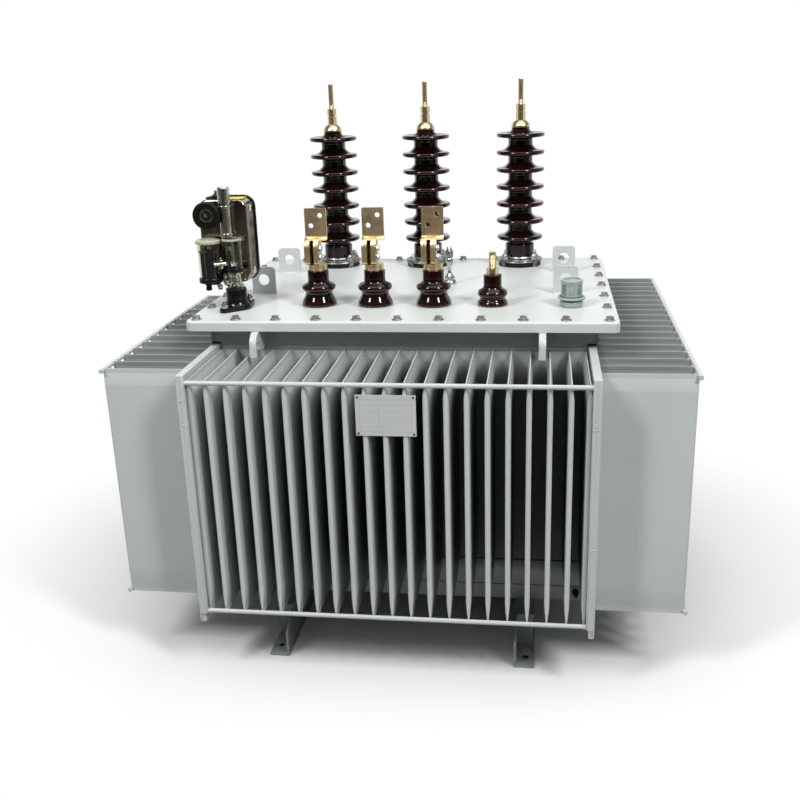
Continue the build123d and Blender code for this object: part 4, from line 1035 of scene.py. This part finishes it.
def drain_details():
    plug = bmesh.new()
    place = at(*DRAIN, lean_x=90)
    turn_solid(plug, [(6.4, 16), (7.4, 17), (7.4, 21), (6.4, 22)], place, 28)
    turn_solid(plug, [(9.4, 4), (9.8, 5), (9.8, 8), (9, 9)], place, 28)
    add_prism(plug, 6, 5.0, 21.6, 27, 0.9, place)
    turn_solid(plug, [(3.6, 0), (4.2, 1), (4.2, 11), (3.4, 12)], at(486, -405, 118), 20)
    make_piece("drain_plug_details", plug, BLACK_PAINT)


# Studio
def dimmed(tree, glossy, mirrored):
    """Full strength, or the mirrored strength for a reflection's ray."""
    return put(tree, "MapRange", {"Value": glossy, "To Min": 1.0, "To Max": mirrored}).outputs["Result"]


def area_light(name, place, target, size, power):
    data = bpy.data.lights.new(name, "AREA")
    data.shape = "RECTANGLE"
    data.size, data.size_y = size
    data.energy = power
    lamp = new_object(name, data)
    lamp.location = place
    lamp.rotation_euler = (Vector(target) - Vector(place)).to_track_quat("-Z", "Y").to_euler()
    return lamp


def seen_share(tree):
    """1 for rays that should find the white background: camera, reflections and glass."""
    path = put(tree, "LightPath").outputs
    either = calc(tree, "MAXIMUM", path["Is Camera Ray"], path["Is Glossy Ray"])
    return calc(tree, "MAXIMUM", either, path["Is Transmission Ray"])


def stage_plane(name, material, place, side):
    """A flat studio piece, which is no part of the transformer."""
    shape = bmesh.new()
    bmesh.ops.create_grid(shape, x_segments=1, y_segments=1, size=side / 2, matrix=place)
    plane = new_object(name, to_mesh(name, shape))
    plane.data.materials.append(material)
    return plane


def studio_floor():
    """A pale floor that keeps the soft shadow near the transformer and runs out to plain white."""
    material, shader = new_material("studio_floor")
    set_inputs(shader, {"Roughness": 0.7, "Specular IOR Level": 0.2})
    tree = material.node_tree
    oval = put(tree, "VectorMath", {0: object_place(tree), 1: FLOOR_OVAL}, operation="MULTIPLY").outputs[0]
    out = put(tree, "VectorMath", {0: oval}, operation="LENGTH").outputs["Value"]
    path = put(tree, "LightPath").outputs
    direct = calc(tree, "MAXIMUM", path["Is Camera Ray"], path["Is Transmission Ray"])
    tree.links.new(blend_color(tree, direct, FLOOR_LIGHTING, FLOOR_SEEN), shader.inputs["Base Color"])
    share = times(tree, fade(tree, out, *FLOOR_FADE), seen_share(tree))
    back = put(tree, "SeparateXYZ", {0: object_place(tree)}).outputs["Y"]
    mirrored = fade(tree, back, -1.0, 2.0, REFLECTED_FLOOR, 1.0)
    strength = dimmed(tree, path["Is Glossy Ray"], mirrored)
    white = put(tree, "Emission", {"Color": WHITE, "Strength": strength})
    mix = put(tree, "MixShader", {0: share, 1: shader.outputs[0], 2: white.outputs[0]})
    tree.links.new(mix.outputs[0], tree.nodes["Material Output"].inputs["Surface"])
    stage_plane("studio_floor", material, Matrix.Identity(4), FLOOR_SIDE)


def dark_card(name, low, high, y):
    """A dark studio card behind the camera, seen only in reflections."""
    middle = Matrix.Translation(((low[0] + high[0]) / 2, y, (low[1] + high[1]) / 2))
    size = Matrix.Diagonal((high[0] - low[0], 1.0, high[1] - low[1], 1))
    material, shader = new_material(name)
    set_inputs(shader, {"Base Color": (0.05, 0.038, 0.028, 1), "Roughness": 1.0})
    card = stage_plane(name, material, middle @ size @ rotated(90, "X"), 1.0)
    card.visible_camera = False
    card.visible_diffuse = False
    card.visible_shadow = False
    card.visible_transmission = False


def white_world():
    world = bpy.data.worlds.new("studio")
    world.use_nodes = True
    tree = world.node_tree
    ambient = tree.nodes["Background"]
    set_inputs(ambient, {"Color": WHITE, "Strength": AMBIENT})
    way = put(tree, "SeparateXYZ", {0: put(tree, "TexCoord").outputs["Generated"]}).outputs
    behind = fade(tree, way["Y"], -0.2, 0.7)
    level = fade(tree, calc(tree, "ABSOLUTE", way["Z"]), 0.75, 0.2)
    mirrored = fade(tree, times(tree, behind, level), 0.0, 1.0, REFLECTED_ROOM, 1.0)
    glossy = put(tree, "LightPath").outputs["Is Glossy Ray"]
    strength = dimmed(tree, glossy, mirrored)
    seen = put(tree, "Background", {"Color": WHITE, "Strength": strength})
    mix = put(tree, "MixShader", {0: seen_share(tree), 1: ambient.outputs[0], 2: seen.outputs[0]})
    tree.links.new(mix.outputs[0], tree.nodes["World Output"].inputs["Surface"])
    bpy.context.scene.world = world


def studio():
    studio_floor()
    white_world()
    dark_card("reflection_card", (-6.0, 0.0), (6.0, 3.4), -7.0)
    area_light("ceiling_softbox", (0.3, -0.3, 3.6), (0, 0, 0.9), (3.2, 2.6), 46)
    area_light("front_left_softbox", (-2.5, -3.1, 4.5), (0, 0, 0.8), (0.8, 2.0), 160)
    area_light("front_right_softbox", (2.9, -3.0, 4.5), (0, 0, 0.8), (0.8, 2.0), 205)
    rear = area_light("rear_softbox", (-0.8, 4.6, 3.2), (0, 0, 0.6), (2.6, 1.2), 80)
    rear.visible_glossy = False


dress_nodes()
cover_bolts()
bushing_fasteners()
bell_porcelains()
tank_welds()
skid_details()
plate_details()
filler_details()
relief_details()
pedestal_nuts()
float_chamber()
relay_taps()
housing_details()
dial_details()
drain_details()
studio()
place_camera()
bpy.context.scene.view_settings.view_transform = "Standard"
